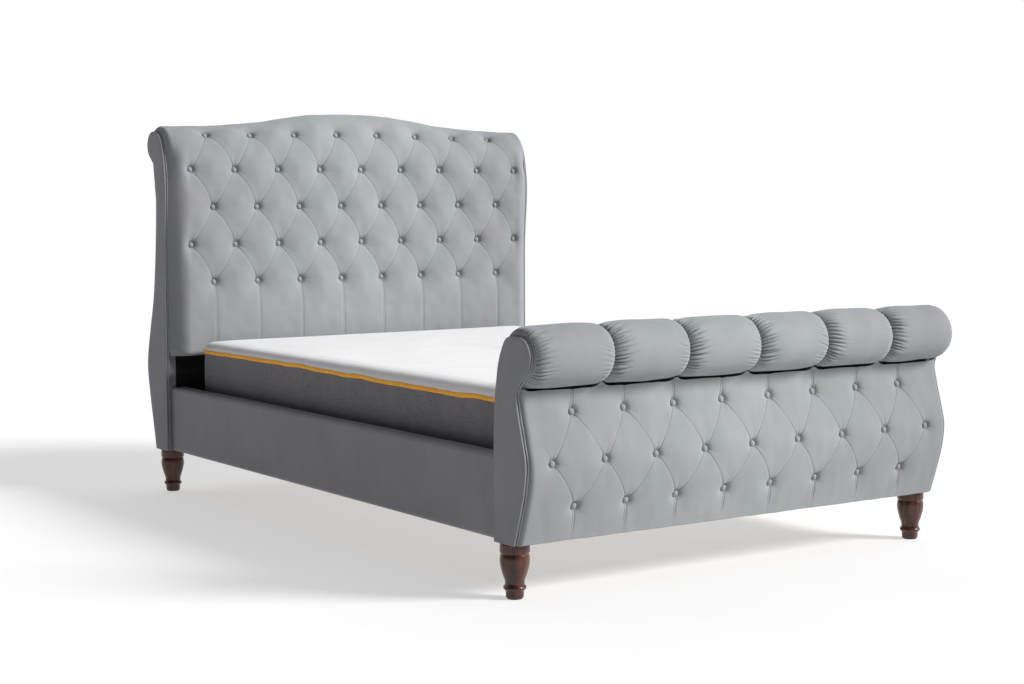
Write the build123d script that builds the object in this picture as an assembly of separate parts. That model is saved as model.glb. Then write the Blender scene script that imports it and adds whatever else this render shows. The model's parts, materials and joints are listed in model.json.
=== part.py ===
from build123d import *
import math
import os

# Upholstered sleigh bed for a 1350 x 1900 mm mattress, in millimetres.
# X runs across the bed, -Y is the footboard, +Y the headboard, and Z = 0 is the floor.
# The origin is the centre of the footprint. Head and foot profiles are drawn in (v, z):
# v is the distance from the footboard's leg axis, or from the headboard's front edge.

os.makedirs("parts", exist_ok=True)

# ---------------------------------------------------------------- driving dimensions
MATTRESS_W = 1350.0
MATTRESS_L = 1902.0
MATTRESS_BOTTOM = 311.0
MATTRESS_TOP = 545.0
MATTRESS_SEAM = 508.0  # height of the top piping
MATTRESS_LOW_SEAM = 330.0
MATTRESS_HEAD_V = -87.0  # head end, in front of the headboard's front edge

FOOT_Y = -1064.6  # axis of the footboard legs
HEAD_Y = 1054.4  # front edge of the headboard
HEAD_LEG_V = 39.0
FOOT_IN = 45.0  # bed side of the footboard, as v

CHEEK_X = 775.0  # outer face of the shaped side panels
COVER_T = 10.0
BOARD_T = 27.0
LEG_H = 148.5
LEG_X = 737.0

BUTTON_PITCH = 172.0
BUTTON_R = 11.0
BUTTON_T = 7.0
EVEN_ROW = 8
ODD_ROW = 9

RAIL_OUT = 755.0
RAIL_IN = 700.0
RAIL_TOP = 375.0
RAIL_BOARD_T = 28.0
RAIL_CAP_T = 12.0

SLATS = 15
SLAT_W = 63.0
SLAT_T = 8.0
SLAT_BOW = 12.0
SLAT_END_MARGIN = 60.0
LEDGE_TOP = 285.0
CENTRE_LEG_Y = 330.0
GLIDE_TRAVEL = 12.0

PIPING_R = 4.5
GAP = 0.3  # free play between parts that only touch

# ---------------------------------------------------------------- sheet, timber and steel sizes
COVER_X = CHEEK_X - COVER_T
BOARD_X = COVER_X - BOARD_T
PIPING_X = CHEEK_X - PIPING_R
BOARD_INSET = 10.0
PIPING_SEAT = 7.0  # the cheek's edge stands this far behind its outline
PIPING_INSET = PIPING_SEAT - PIPING_R + 1
PLY = 9.0
THIN_PLY = 6.0
LINING_T = 2.0
POST_IN = BOARD_X - 98.0
BLOCK_W = 74.0
BLOCK_V = (-20.0, 25.0)
BLOCK_TOP = LEG_H + 60.0
FOOT_POST_V = (-20.0, 14.0)
HEAD_POST_V = (PLY, PLY + 45.0)
BOLT_X = POST_IN + 34.0
BOLT_R = 4.0
BOLT_SHANK = 56.0
HEX_HEAD_R = 7.5
HEX_HEAD_T = 5.5
HANGER_BOLT_L = 80.0
BOLT_ZS = (185.0, 222.0)
STEEL = 3.0
BRACKET_Z = (165.0, 240.0)
BRACKET_ALONG_RAIL = 60.0
BRACKET_ACROSS = 48.0
CENTRE_RAIL_X = 20.0
CENTRE_RAIL_DEPTH = 60.0
LEDGE_SIZE = (30.0, 40.0)  # across, tall
POCKET_X = 23.0
POCKET_DEPTH = 42.0
POCKET_Z = (222.0, 262.0)
POCKET_PLATE_X = 38.0
POCKET_PLATE_Z = (205.0, LEDGE_TOP - 2)
HOLDER_GRIP = 5.0  # slat holder beyond each edge of its slat
HOLDER_REACH = 45.0
HOLDER_T = 19.0
SLAT_END = 8.0  # slat end to the rail, or to the bed's centre line
GLIDE_R = 19.0
GLIDE_T = 8.0
GLIDE_STEM = 32.0  # stem inside the centre leg
THREAD_GAP = 0.05
FELT_R = 20.0
FELT_T = 2.0

# ---------------------------------------------------------------- footboard profile
FOOT_SCROLL = (-67.0, 640.0)  # centre of the rolled top
FOOT_SCROLL_R = 57.0
FOOT_NECK_ANGLE = 235.0
FOOT_FACE = [(-50, LEG_H), (-78, 232), (-97, 302), (-103, 360), (-86, 434), (-70, 490), (-61, 545)]
FOOT_INNER = [(FOOT_IN, 383), (42, 487), (34, 564), (11, 652), (-13, 688)]
FOOT_ROWS = ((495.0, EVEN_ROW), (364.5, ODD_ROW), (239.0, EVEN_ROW))
FOOT_PROUD = 10.0
FOOT_PAD_T = 32.0
FOOT_WELL = 10.0
INNER_PAD_T = 12.0
FOOT_FRAME_TOP = FOOT_FACE[-1][1]
FOOT_CROSS_RAILS = ((LEG_H + 4, 248.0), (485.0, FOOT_FRAME_TOP))

CUSHIONS = 6
CUSHION_PITCH = 2 * COVER_X / CUSHIONS
CUSHION_CENTRE = (-62.0, 641.0)
CUSHION_RADII = (88.0, 81.0)
CUSHION_WRAP = (45.0, 80.0, 120.0, 160.0, 200.0, 235.0, 262.0)

# ---------------------------------------------------------------- headboard profile
HEAD_SCROLL = (81.0, 1228.0)
HEAD_SCROLL_R = 50.0
HEAD_NECK_ANGLE = -50.0
HEAD_BACK = [(97, LEG_H), (121, 248), (144, 343), (160, 440), (129, 584), (102, 677), (84, 786)]
HEAD_BACK += [(72, 895), (64, 1071), (68, 1145)]
BACK_PANEL_TOP = (76.0, 1215.0)
BACK_T = 8.0
HEAD_FRONT = [(0, 864), (-8, 1140), (8, 1215), (23, 1248), (44, 1268)]
HEAD_ROWS = ((1277.0, EVEN_ROW), (1146.0, ODD_ROW), (1012.0, EVEN_ROW), (879.0, ODD_ROW))
HEAD_ROWS += ((746.0, EVEN_ROW),)
HEAD_PROUD = 60.0
HEAD_WELL = 16.0
HEAD_PAD_BASE = 487.0
CREST_BASE = 1125.0
CREST_END = 1291.0
CREST_RISE = 61.0
CREST_HALF_WIDTH = 345.0
CREST_POWER = 3.2
CREST_V = 66.0
CREST_STATIONS = 13
CREST_BOARD_DROP = 56.0
CREST_BOARD_T = 22.0
POST_TOP = 1060.0
HEAD_CROSS_RAILS = ((LEG_H + 4, 248.0), (560.0, 630.0), (990.0, POST_TOP))
HEAD_PAD_CORNER = 25.0
CREST_CURL = ((53.0, -28.0), (65.0, -66.0), (28.0, -112.0))  # back scroll, from the crest's top

# ---------------------------------------------------------------- leg and mattress profiles
LEG_FOOT = [(0, FELT_T), (21.5, FELT_T), (23.7, 4.5), (24.6, 20), (27, 24)]
LEG_BEAD = [(27, 24), (30.7, 30), (27, 36)]
LEG_BULB = [(27, 36), (26, 42), (30.5, 60), (36, 78), (40, 103), (37.3, 121)]
LEG_COLLAR = [(37.3, 121), (40, 125), (40, 145), (38.5, LEG_H), (0, LEG_H), (0, FELT_T)]
MATTRESS_CORNER = 25.0
MATTRESS_PIPING_R = 5.0
TOP_PANEL_ROUND = 22.0
BASE_PANEL_ROUND = 8.0
RAIL_COVER_ROUND = 10.0


# ---------------------------------------------------------------- helpers
def standing(radius, height):
    """A cylinder standing on Z = 0."""
    return Cylinder(radius, height, align=(Align.CENTER, Align.CENTER, Align.MIN))


def save(name, *solids):
    """Write one node: a single solid or a group of separate ones."""
    shape = solids[0] if len(solids) == 1 else Compound(children=list(solids))
    export_step(shape, f"parts/{name}.step")


def box(x, y, z):
    """A box from (low, high) pairs."""
    low, high = zip(sorted(x), sorted(y), sorted(z))
    size = [h - n for n, h in zip(low, high)]
    centre = [(h + n) / 2 for n, h in zip(low, high)]
    return Pos(*centre) * Box(*size)


def prism(face, x_low, x_high, station):
    """Extrude a (v, z) face across the bed, with v = 0 at y = station."""
    placed = Plane.YZ.offset(x_low) * Pos(station, 0, 0) * face
    return extrude(placed, amount=x_high - x_low, dir=(1, 0, 0))


def mirrored(solid):
    return mirror(solid, about=Plane.YZ)


def save_pair(name, right):
    """Write a right-hand solid and its mirror image as two nodes."""
    save(f"{name}_right", right)
    save(f"{name}_left", mirrored(right))


def cut(solid, tools):
    for tool in tools:
        solid = solid - tool
    return solid


def button_xs(count):
    return [(i - (count - 1) / 2) * BUTTON_PITCH for i in range(count)]


def shifted(points, distance):
    return [(v + distance, z) for v, z in points]


def on_circle(centre, radius, degrees):
    angle = math.radians(degrees)
    return centre[0] + radius * math.cos(angle), centre[1] + radius * math.sin(angle)


def at_height(edge, z):
    """Point and tangent where a (v, z) edge that runs upwards reaches height z."""
    low, high = 0.0, 1.0
    for _ in range(40):
        middle = (low + high) / 2
        if edge.position_at(middle).Y < z:
            low = middle
        else:
            high = middle
    return edge.position_at(low), edge.tangent_at(low)


def face_frame(edge, x, z, station, depth):
    """A plane depth mm under a padded face that looks towards -Y, its Z out of the face."""
    point, tangent = at_height(edge, z)
    out = Vector(0, -tangent.Y, tangent.X)
    origin = Vector(x, station + point.X, point.Y) - out * depth
    return Plane(origin=origin, x_dir=(1, 0, 0), z_dir=out)


def covered_button():
    disc = standing(BUTTON_R, BUTTON_T)
    return fillet(disc.edges().sort_by(Axis.Z)[-1], BUTTON_T * 0.7)


def button_well(depth):
    """The dimple a button pulls into the pad, reaching well out of the pad's face."""
    return standing(BUTTON_R + 2, 3 * depth)


def add_buttons(pad, frames, depth):
    """Sink a button in the pad at each frame: the pad with its wells, and the buttons."""
    pad = pad - [frame * button_well(depth) for frame in frames]
    return pad, [frame * covered_button() for frame in frames]


def piping_tube(edges, station):
    """Round piping along a cheek's (v, z) edges."""
    path = Plane.YZ.offset(PIPING_X) * Pos(station, 0, 0) * Wire(edges)
    start = Plane(origin=path @ 0, z_dir=path % 0)
    return sweep(start * Circle(PIPING_R), path=path)


def swept_sheet(points, near, far):
    """Face between one curve moved by near and the same curve moved by far."""
    front = Spline(*shifted(points, near))
    back = Spline(*shifted(points, far))
    return make_face([front, back, Line(front @ 0, back @ 0), Line(front @ 1, back @ 1)])


# ---------------------------------------------------------------- legs
def leg():
    """Turned leg: tapered foot, bead, neck, bulb and collar."""
    foot = Polyline(*LEG_FOOT)
    collar = Polyline(*LEG_COLLAR)
    curves = [ThreePointArc(*LEG_BEAD), Spline(*LEG_BULB)]
    outline = make_face([*foot.edges(), *curves, *collar.edges()])
    return revolve(Plane.XZ * outline, axis=Axis.Z)


def hanger_bolt(x, y):
    return Pos(x, y, LEG_H) * Cylinder(BOLT_R, HANGER_BOLT_L)


def leg_block(side, axis_y):
    """Corner block over a leg, before it is drilled."""
    x = (side * (COVER_X - BLOCK_W), side * COVER_X)
    return box(x, [axis_y + v for v in BLOCK_V], (LEG_H, BLOCK_TOP))


FOOT_BLOCKS = [leg_block(side, FOOT_Y) for side in (-1, 1)]
HEAD_BLOCKS = [leg_block(side, HEAD_Y + HEAD_LEG_V) for side in (-1, 1)]


def build_legs():
    turned = leg()
    bolts = []
    pads = []
    for end, y in (("foot", FOOT_Y), ("head", HEAD_Y + HEAD_LEG_V)):
        for hand, x in (("left", -LEG_X), ("right", LEG_X)):
            bolt = hanger_bolt(x, y)
            save(f"leg_{end}_{hand}", Pos(x, y, 0) * turned - bolt)
            bolts.append(bolt)
            pads.append(Pos(x, y, 0) * standing(FELT_R, FELT_T))
    save("leg_hanger_bolts", *bolts)
    save("leg_felt_pads", *pads)
    save("leg_corner_blocks", *[cut(block, bolts) for block in FOOT_BLOCKS + HEAD_BLOCKS])


# ---------------------------------------------------------------- rail fixings
def rail_bolts(head_y, into):
    """Two hex bolts per side, heads at y = head_y, shanks towards into (+1 or -1)."""
    head = extrude(RegularPolygon(HEX_HEAD_R, 6), amount=HEX_HEAD_T)
    shank = Pos(0, 0, -BOLT_SHANK) * standing(BOLT_R, BOLT_SHANK)
    bolt = head + shank
    places = [(side * BOLT_X, head_y, z) for side in (-1, 1) for z in BOLT_ZS]
    return [Plane(origin=place, z_dir=(0, -into, 0)) * bolt for place in places]


HEAD_BOLTS = rail_bolts(HEAD_Y - LINING_T - STEEL, 1)
FOOT_BOLTS = rail_bolts(FOOT_Y + FOOT_IN + STEEL, -1)


def corner_bracket(side, wall_y, inward):
    """Steel angle between a rail and the head or foot board's face at y = wall_y."""
    rail_x = side * RAIL_IN
    along = (wall_y, wall_y + inward * BRACKET_ALONG_RAIL)
    plate = box((rail_x, rail_x - side * STEEL), along, BRACKET_Z)
    end_x = (rail_x - side * STEEL, rail_x - side * BRACKET_ACROSS)
    end = box(end_x, (wall_y, wall_y + inward * STEEL), BRACKET_Z)
    return cut(plate + end, HEAD_BOLTS + FOOT_BOLTS)


def centre_hanger(wall_y, inward):
    """Open-topped steel pocket that carries one end of the centre rail."""
    face_y = wall_y + inward * STEEL
    plate = box((-POCKET_PLATE_X, POCKET_PLATE_X), (wall_y, face_y), POCKET_PLATE_Z)
    cup = box((-POCKET_X, POCKET_X), (wall_y, wall_y + inward * POCKET_DEPTH), POCKET_Z)
    rail_z = (LEDGE_TOP - CENTRE_RAIL_DEPTH, LEDGE_TOP)
    rail_end = (face_y, face_y + inward * POCKET_DEPTH)
    return plate + cup - box((-CENTRE_RAIL_X, CENTRE_RAIL_X), rail_end, rail_z)


def build_rails():
    y = (FOOT_Y + FOOT_IN, HEAD_Y - LINING_T)
    board_z = (LEG_H + RAIL_CAP_T, RAIL_TOP - RAIL_CAP_T)
    board = box((RAIL_IN, RAIL_IN + RAIL_BOARD_T), y, board_z)
    wrap = box((RAIL_IN, RAIL_OUT), y, (LEG_H, RAIL_TOP))
    long_outer_edges = wrap.edges().filter_by(Axis.Y).group_by(Axis.X)[-1]
    save_pair("side_rail_board", board)
    save_pair("side_rail_cover", fillet(long_outer_edges, RAIL_COVER_ROUND) - board)

    ledge_x = (RAIL_IN - LEDGE_SIZE[0], RAIL_IN)
    ledge_y = (y[0] + LINING_T, y[1] - LINING_T)
    ledge = box(ledge_x, ledge_y, (LEDGE_TOP - LEDGE_SIZE[1], LEDGE_TOP))
    save("slat_ledges", ledge, mirrored(ledge))

    walls = ((y[0], 1), (y[1], -1))
    brackets = [corner_bracket(side, wall, inward) for side in (-1, 1) for wall, inward in walls]
    save("rail_corner_brackets", *brackets)
    save("rail_bolts", *HEAD_BOLTS, *FOOT_BOLTS)
    save("centre_rail_hangers", *[centre_hanger(wall, inward) for wall, inward in walls])

    rail_y = (y[0] + STEEL, y[1] - STEEL)
    rail_z = (LEDGE_TOP - CENTRE_RAIL_DEPTH, LEDGE_TOP)
    save("centre_rail", box((-CENTRE_RAIL_X, CENTRE_RAIL_X), rail_y, rail_z))


# ---------------------------------------------------------------- slats and centre legs
def slat():
    """Sprung slat on +X, bowed upwards, centred on y = 0."""
    x_low, x_high = SLAT_END, RAIL_IN - SLAT_END
    middle = (x_low + x_high) / 2
    top = MATTRESS_BOTTOM - GAP - SLAT_BOW
    arcs = []
    for z in (top - SLAT_T, top):
        arcs.append(ThreePointArc((x_low, z), (middle, z + SLAT_BOW), (x_high, z)))
    ends = [Line(arcs[0] @ i, arcs[1] @ i) for i in (0, 1)]
    face = Plane.XZ.offset(-SLAT_W / 2) * make_face([*arcs, *ends])
    return extrude(face, amount=SLAT_W, dir=(0, -1, 0))


def build_slats():
    one = slat()
    pair = [one, mirrored(one)]
    y = (-SLAT_W / 2 - HOLDER_GRIP, SLAT_W / 2 + HOLDER_GRIP)
    z = (LEDGE_TOP, LEDGE_TOP + HOLDER_T)
    side_holder = box((RAIL_IN - HOLDER_REACH, RAIL_IN), y, z) - one
    centre_holder = cut(box((-HOLDER_REACH, HOLDER_REACH), y, z), pair)
    first = FOOT_Y + FOOT_IN + SLAT_END_MARGIN + SLAT_W / 2
    last = HEAD_Y - SLAT_END_MARGIN - SLAT_W / 2
    places = [Pos(0, first + i * (last - first) / (SLATS - 1), 0) for i in range(SLATS)]
    save("slats", *[place * s for place in places for s in pair])
    side_holders = [side_holder, mirrored(side_holder)]
    save("slat_holders_side", *[place * h for place in places for h in side_holders])
    save("slat_holders_centre", *[place * centre_holder for place in places])


def build_centre_legs():
    """Two square legs under the centre rail, each on a screw-in levelling foot."""
    leg_base = GLIDE_T + GLIDE_TRAVEL + 2
    stem_top = leg_base + GLIDE_STEM
    square = (-CENTRE_RAIL_X, CENTRE_RAIL_X)
    post = box(square, square, (leg_base, LEDGE_TOP - CENTRE_RAIL_DEPTH))
    bore = standing(BOLT_R + THREAD_GAP, stem_top + GLIDE_TRAVEL + 4)
    foot = standing(GLIDE_R, GLIDE_T)
    foot = fillet(foot.edges().sort_by(Axis.Z)[-1], 3) + standing(BOLT_R, stem_top)
    legs = [Pos(0, y, 0) * (post - bore) for y in (-CENTRE_LEG_Y, CENTRE_LEG_Y)]
    save("centre_legs", *legs)
    save("levelling_foot_front", Pos(0, -CENTRE_LEG_Y, 0) * foot)
    save("levelling_foot_rear", Pos(0, CENTRE_LEG_Y, 0) * foot)


# ---------------------------------------------------------------- footboard
def foot_front(inset):
    """Swept front of a footboard panel and its scroll, bottom to top."""
    radius = FOOT_SCROLL_R - inset
    meet = on_circle(FOOT_SCROLL, radius, FOOT_NECK_ANGLE)
    angle = math.radians(FOOT_NECK_ANGLE)
    points = shifted(FOOT_FACE, inset) + [meet]
    swept = Spline(*points, tangents=[(-0.35, 1), (math.sin(angle), -math.cos(angle))])
    left = on_circle(FOOT_SCROLL, radius, 180)
    top = on_circle(FOOT_SCROLL, radius, 90)
    return [swept, ThreePointArc(meet, left, top)]


def foot_panel(front_inset, inner_inset):
    """Outline of a footboard side panel."""
    top = on_circle(FOOT_SCROLL, FOOT_SCROLL_R - front_inset, 90)
    inner = shifted(FOOT_INNER, -inner_inset)
    base_in = (FOOT_IN - inner_inset, LEG_H)
    over = Spline(*inner, top, tangents=[(0, 1), (-1, 0)])
    base = Line((FOOT_FACE[0][0] + front_inset, LEG_H), base_in)
    return make_face([*foot_front(front_inset), over, Line(base_in, inner[0]), base])


def foot_inner_sheet(near, far):
    """Face of a sheet on the bed side of the footboard, straight below and swept above."""
    edges = []
    for inset in (near, far):
        points = shifted(FOOT_INNER[:-1], -inset)
        swept = Spline(*points, tangents=[(0, 1), (-0.5, 1)])
        edges += [Line((points[0][0], LEG_H), points[0]), swept]
    edges += [Line(edges[0] @ 0, edges[2] @ 0), Line(edges[1] @ 1, edges[3] @ 1)]
    return make_face(edges)


def foot_cushion():
    """Section of a roll cushion: a padded wrap round the scroll from the neck over the top."""
    angles = [math.radians(degrees) for degrees in CUSHION_WRAP]
    (v, z), (depth, height) = CUSHION_CENTRE, CUSHION_RADII
    skin = Spline(*[(v + depth * math.cos(a), z + height * math.sin(a)) for a in angles])
    inner_r = FOOT_SCROLL_R - BOARD_INSET + GAP
    first, last = CUSHION_WRAP[0], CUSHION_WRAP[-1]
    bends = (first, (first + last) / 2, last)
    core = ThreePointArc(*[on_circle(FOOT_SCROLL, inner_r, degrees) for degrees in bends])
    return make_face([skin, core, Line(skin @ 0, core @ 0), Line(skin @ 1, core @ 1)])


def build_foot_cheeks():
    piping = piping_tube(foot_front(PIPING_INSET), FOOT_Y)
    cover = prism(foot_panel(PIPING_SEAT, 0), COVER_X, CHEEK_X, FOOT_Y) - piping
    save_pair("footboard_cheek_cover", cover)
    save_pair("footboard_piping", piping)
    board = prism(foot_panel(BOARD_INSET, BOARD_INSET), BOARD_X, COVER_X, FOOT_Y)
    boards = [cut(s, FOOT_BLOCKS) for s in (board, mirrored(board))]
    save("footboard_cheek_boards", *boards)
    return boards


def build_foot_frame():
    y = [FOOT_Y + v for v in FOOT_POST_V]
    posts = [box((side * POST_IN, side * BOARD_X), y, (LEG_H, FOOT_FRAME_TOP)) for side in (-1, 1)]
    save("footboard_posts", *[cut(post, FOOT_BLOCKS + FOOT_BOLTS) for post in posts])
    rails = [box((-POST_IN, POST_IN), y, z) for z in FOOT_CROSS_RAILS]
    save("footboard_cross_rails", *rails)


def build_foot_panels(cheeks):
    back = FOOT_PAD_T - FOOT_PROUD
    ply = swept_sheet(FOOT_FACE, back, back + THIN_PLY)
    save("footboard_front_board", prism(ply, -BOARD_X, BOARD_X, FOOT_Y))

    pad = prism(swept_sheet(FOOT_FACE, -FOOT_PROUD, back), -COVER_X, COVER_X, FOOT_Y)
    skin = Spline(*shifted(FOOT_FACE, -FOOT_PROUD))
    places = [(x, z) for z, count in FOOT_ROWS for x in button_xs(count)]
    frames = [face_frame(skin, x, z, FOOT_Y, FOOT_WELL) for x, z in places]
    pad, buttons = add_buttons(cut(pad, cheeks), frames, FOOT_WELL)
    save("footboard_front_pad", pad)
    save("footboard_buttons", *buttons)

    board = prism(foot_inner_sheet(INNER_PAD_T, INNER_PAD_T + THIN_PLY), -BOARD_X, BOARD_X, FOOT_Y)
    lining = prism(foot_inner_sheet(0, INNER_PAD_T), -COVER_X, COVER_X, FOOT_Y)
    save("footboard_inner_board", cut(board, FOOT_BOLTS))
    save("footboard_inner_pad", cut(lining, cheeks + FOOT_BOLTS))


def build_foot_roll(cheeks):
    radius = FOOT_SCROLL_R - BOARD_INSET
    core = Pos(*FOOT_SCROLL) * Circle(radius)
    save("footboard_roll_core", prism(core, -BOARD_X, BOARD_X, FOOT_Y))
    section = foot_cushion()
    for i in range(CUSHIONS):
        x = -COVER_X + i * CUSHION_PITCH
        cushion = prism(section, x + GAP / 2, x + CUSHION_PITCH - GAP / 2, FOOT_Y)
        save(f"roll_cushion_{i + 1}", cut(cushion, cheeks))


# ---------------------------------------------------------------- headboard
def crest(x):
    """Height of the camel-back top at x."""
    return CREST_END + CREST_RISE / (1 + (abs(x) / CREST_HALF_WIDTH) ** CREST_POWER)


def head_front(inset, scroll_r):
    """Front edge of a headboard panel, bottom to the top of its scroll."""
    points = shifted(HEAD_FRONT, inset)
    top = on_circle(HEAD_SCROLL, scroll_r, 90)
    curve = Spline(*points, top, tangents=[(0, 1), (1, 0)])
    return [Line((inset, LEG_H), points[0]), curve]


def head_panel(front_inset, back_inset):
    """Outline of a headboard side panel."""
    radius = HEAD_SCROLL_R - back_inset
    front = head_front(front_inset, radius)
    meet = on_circle(HEAD_SCROLL, radius, HEAD_NECK_ANGLE)
    angle = math.radians(HEAD_NECK_ANGLE)
    back_points = shifted(HEAD_BACK, -back_inset) + [meet]
    back = Spline(*back_points, tangents=[(0.2, 1), (-math.sin(angle), math.cos(angle))])
    side = on_circle(HEAD_SCROLL, radius, 20)
    scroll = ThreePointArc(meet, side, on_circle(HEAD_SCROLL, radius, 90))
    return make_face([*front, back, scroll, Line((front_inset, LEG_H), back_points[0])])


def crest_front(x):
    """Padded face from the flat front up to the crest, at one x."""
    top = crest(x)
    rise = top - CREST_BASE
    depth = CREST_V + HEAD_PROUD
    turn = math.sqrt(0.5)
    shoulder = (-HEAD_PROUD + depth * (1 - turn), CREST_BASE + rise * turn)
    return Spline((-HEAD_PROUD, CREST_BASE), shoulder, (CREST_V, top), tangents=[(0, 1), (1, 0)])


def crest_section(x):
    """Closed section of the padded crest: over the top and down round the back scroll."""
    curl = [(CREST_V + v, crest(x) + z) for v, z in ((0, 0), *CREST_CURL)]
    back = Spline(*curl, tangents=[(1, 0), (-1, -0.6)])
    under = Line(curl[-1], (PLY, CREST_BASE))
    base = Line((PLY, CREST_BASE), (-HEAD_PROUD, CREST_BASE))
    face = make_face([crest_front(x), back, under, base])
    return Plane.YZ.offset(x) * Pos(HEAD_Y, 0, 0) * face


def build_head_cheeks():
    piping = piping_tube(head_front(PIPING_INSET, HEAD_SCROLL_R), HEAD_Y)
    cover = prism(head_panel(PIPING_SEAT, 0), COVER_X, CHEEK_X, HEAD_Y) - piping
    save_pair("headboard_cheek_cover", cover)
    save_pair("headboard_piping", piping)
    board = prism(head_panel(BOARD_INSET, BOARD_INSET), BOARD_X, COVER_X, HEAD_Y)
    boards = [cut(s, HEAD_BLOCKS) for s in (board, mirrored(board))]
    save("headboard_cheek_boards", *boards)
    return boards


def crest_board():
    """Ply board cut to the camel-back outline."""
    xs = [BOARD_X * (2 * i / (CREST_STATIONS - 1) - 1) for i in range(CREST_STATIONS)]
    top = Spline(*[(x, crest(x) - CREST_BOARD_DROP) for x in xs])
    low = [(-BOARD_X, POST_TOP), (BOARD_X, POST_TOP)]
    face = make_face([top, Line(top @ 0, low[0]), Line(*low), Line(low[1], top @ 1)])
    placed = Plane.XZ.offset(-(HEAD_Y + PLY)) * face
    return extrude(placed, amount=CREST_BOARD_T, dir=(0, 1, 0))


def build_head_frame(cheeks):
    y = [HEAD_Y + v for v in HEAD_POST_V]
    posts = [box((side * POST_IN, side * BOARD_X), y, (LEG_H, POST_TOP)) for side in (-1, 1)]
    save("headboard_posts", *[cut(post, HEAD_BLOCKS + HEAD_BOLTS) for post in posts])
    rails = [box((-POST_IN, POST_IN), y, z) for z in HEAD_CROSS_RAILS]
    save("headboard_cross_rails", *rails)
    front = box((-COVER_X, COVER_X), (HEAD_Y, HEAD_Y + PLY), (LEG_H + 2, CREST_BASE))
    save("headboard_front_board", cut(front, cheeks + HEAD_BOLTS))
    lining = box((-BOARD_X, BOARD_X), (HEAD_Y - LINING_T, HEAD_Y), (LEG_H + 2, HEAD_PAD_BASE))
    save("headboard_lining", cut(lining, HEAD_BOLTS))


def build_head_pads(cheeks):
    board = crest_board()
    save("headboard_crest_board", board)

    face = Line((-HEAD_PROUD, HEAD_PAD_BASE), (-HEAD_PROUD, CREST_BASE))
    y = (HEAD_Y - HEAD_PROUD, HEAD_Y)
    slab = box((-COVER_X, COVER_X), y, (HEAD_PAD_BASE, CREST_BASE))
    slab = fillet(slab.edges().filter_by(Axis.Z).group_by(Axis.Y)[0], HEAD_PAD_CORNER)
    slab_frames = []
    crest_frames = []
    for z, count in HEAD_ROWS:
        for x in button_xs(count):
            if z > CREST_BASE:
                crest_frames.append(face_frame(crest_front(x), x, z, HEAD_Y, HEAD_WELL))
            else:
                slab_frames.append(face_frame(face, x, z, HEAD_Y, HEAD_WELL))
    slab, low_buttons = add_buttons(cut(slab, cheeks), slab_frames, HEAD_WELL)
    save("headboard_front_pad", slab)

    xs = [COVER_X * (2 * i / (CREST_STATIONS - 1) - 1) for i in range(CREST_STATIONS)]
    roll = loft([crest_section(x) for x in xs])
    roll, high_buttons = add_buttons(cut(roll, [board, *cheeks]), crest_frames, HEAD_WELL)
    save("headboard_crest_pad", roll)
    back = prism(swept_sheet([*HEAD_BACK, BACK_PANEL_TOP], -BACK_T, 0), -COVER_X, COVER_X, HEAD_Y)
    save("headboard_back_panel", cut(back, [roll, *cheeks]))
    save("headboard_buttons", *high_buttons, *low_buttons)


# ---------------------------------------------------------------- mattress
def footprint(inset, z):
    """The mattress's round-cornered footprint at height z, drawn in by inset."""
    y = HEAD_Y + MATTRESS_HEAD_V - MATTRESS_L / 2
    size = (MATTRESS_W - 2 * inset, MATTRESS_L - 2 * inset)
    return Pos(0, y, z) * RectangleRounded(*size, MATTRESS_CORNER - inset)


def rounded_slab(inset, z_low, z_high):
    return extrude(footprint(inset, z_low), amount=z_high - z_low)


def mattress_loop(z):
    """Piping all the way round the mattress at height z."""
    path = footprint(MATTRESS_PIPING_R - 0.5, z).wire()
    start = Plane(origin=path @ 0, z_dir=path % 0)
    return sweep(start * Circle(MATTRESS_PIPING_R), path=path)


def build_mattress():
    seam_r = MATTRESS_PIPING_R
    wall = 2 * seam_r + 0.5
    low_seam = MATTRESS_LOW_SEAM
    top_base = MATTRESS_SEAM + seam_r
    top = rounded_slab(0, top_base, MATTRESS_TOP)
    top = fillet(top.edges().group_by(Axis.Z)[-1], TOP_PANEL_ROUND)
    base = rounded_slab(0, MATTRESS_BOTTOM, low_seam - seam_r)
    base = fillet(base.edges().group_by(Axis.Z)[0], BASE_PANEL_ROUND)
    core = rounded_slab(wall, low_seam - seam_r, top_base)
    border = rounded_slab(0, low_seam + seam_r, MATTRESS_SEAM - seam_r)
    save("mattress_top_panel", top)
    save("mattress_base_panel", base)
    save("mattress_core", core)
    save("mattress_border", border - core)
    save("mattress_piping", *[mattress_loop(z) for z in (MATTRESS_SEAM, low_seam)])


build_legs()
build_rails()
build_slats()
build_centre_legs()
foot_cheeks = build_foot_cheeks()
build_foot_frame()
build_foot_panels(foot_cheeks)
build_foot_roll(foot_cheeks)
head_cheeks = build_head_cheeks()
build_head_frame(head_cheeks)
build_head_pads(head_cheeks)
build_mattress()
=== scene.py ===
import json
import math
from collections import namedtuple

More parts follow.
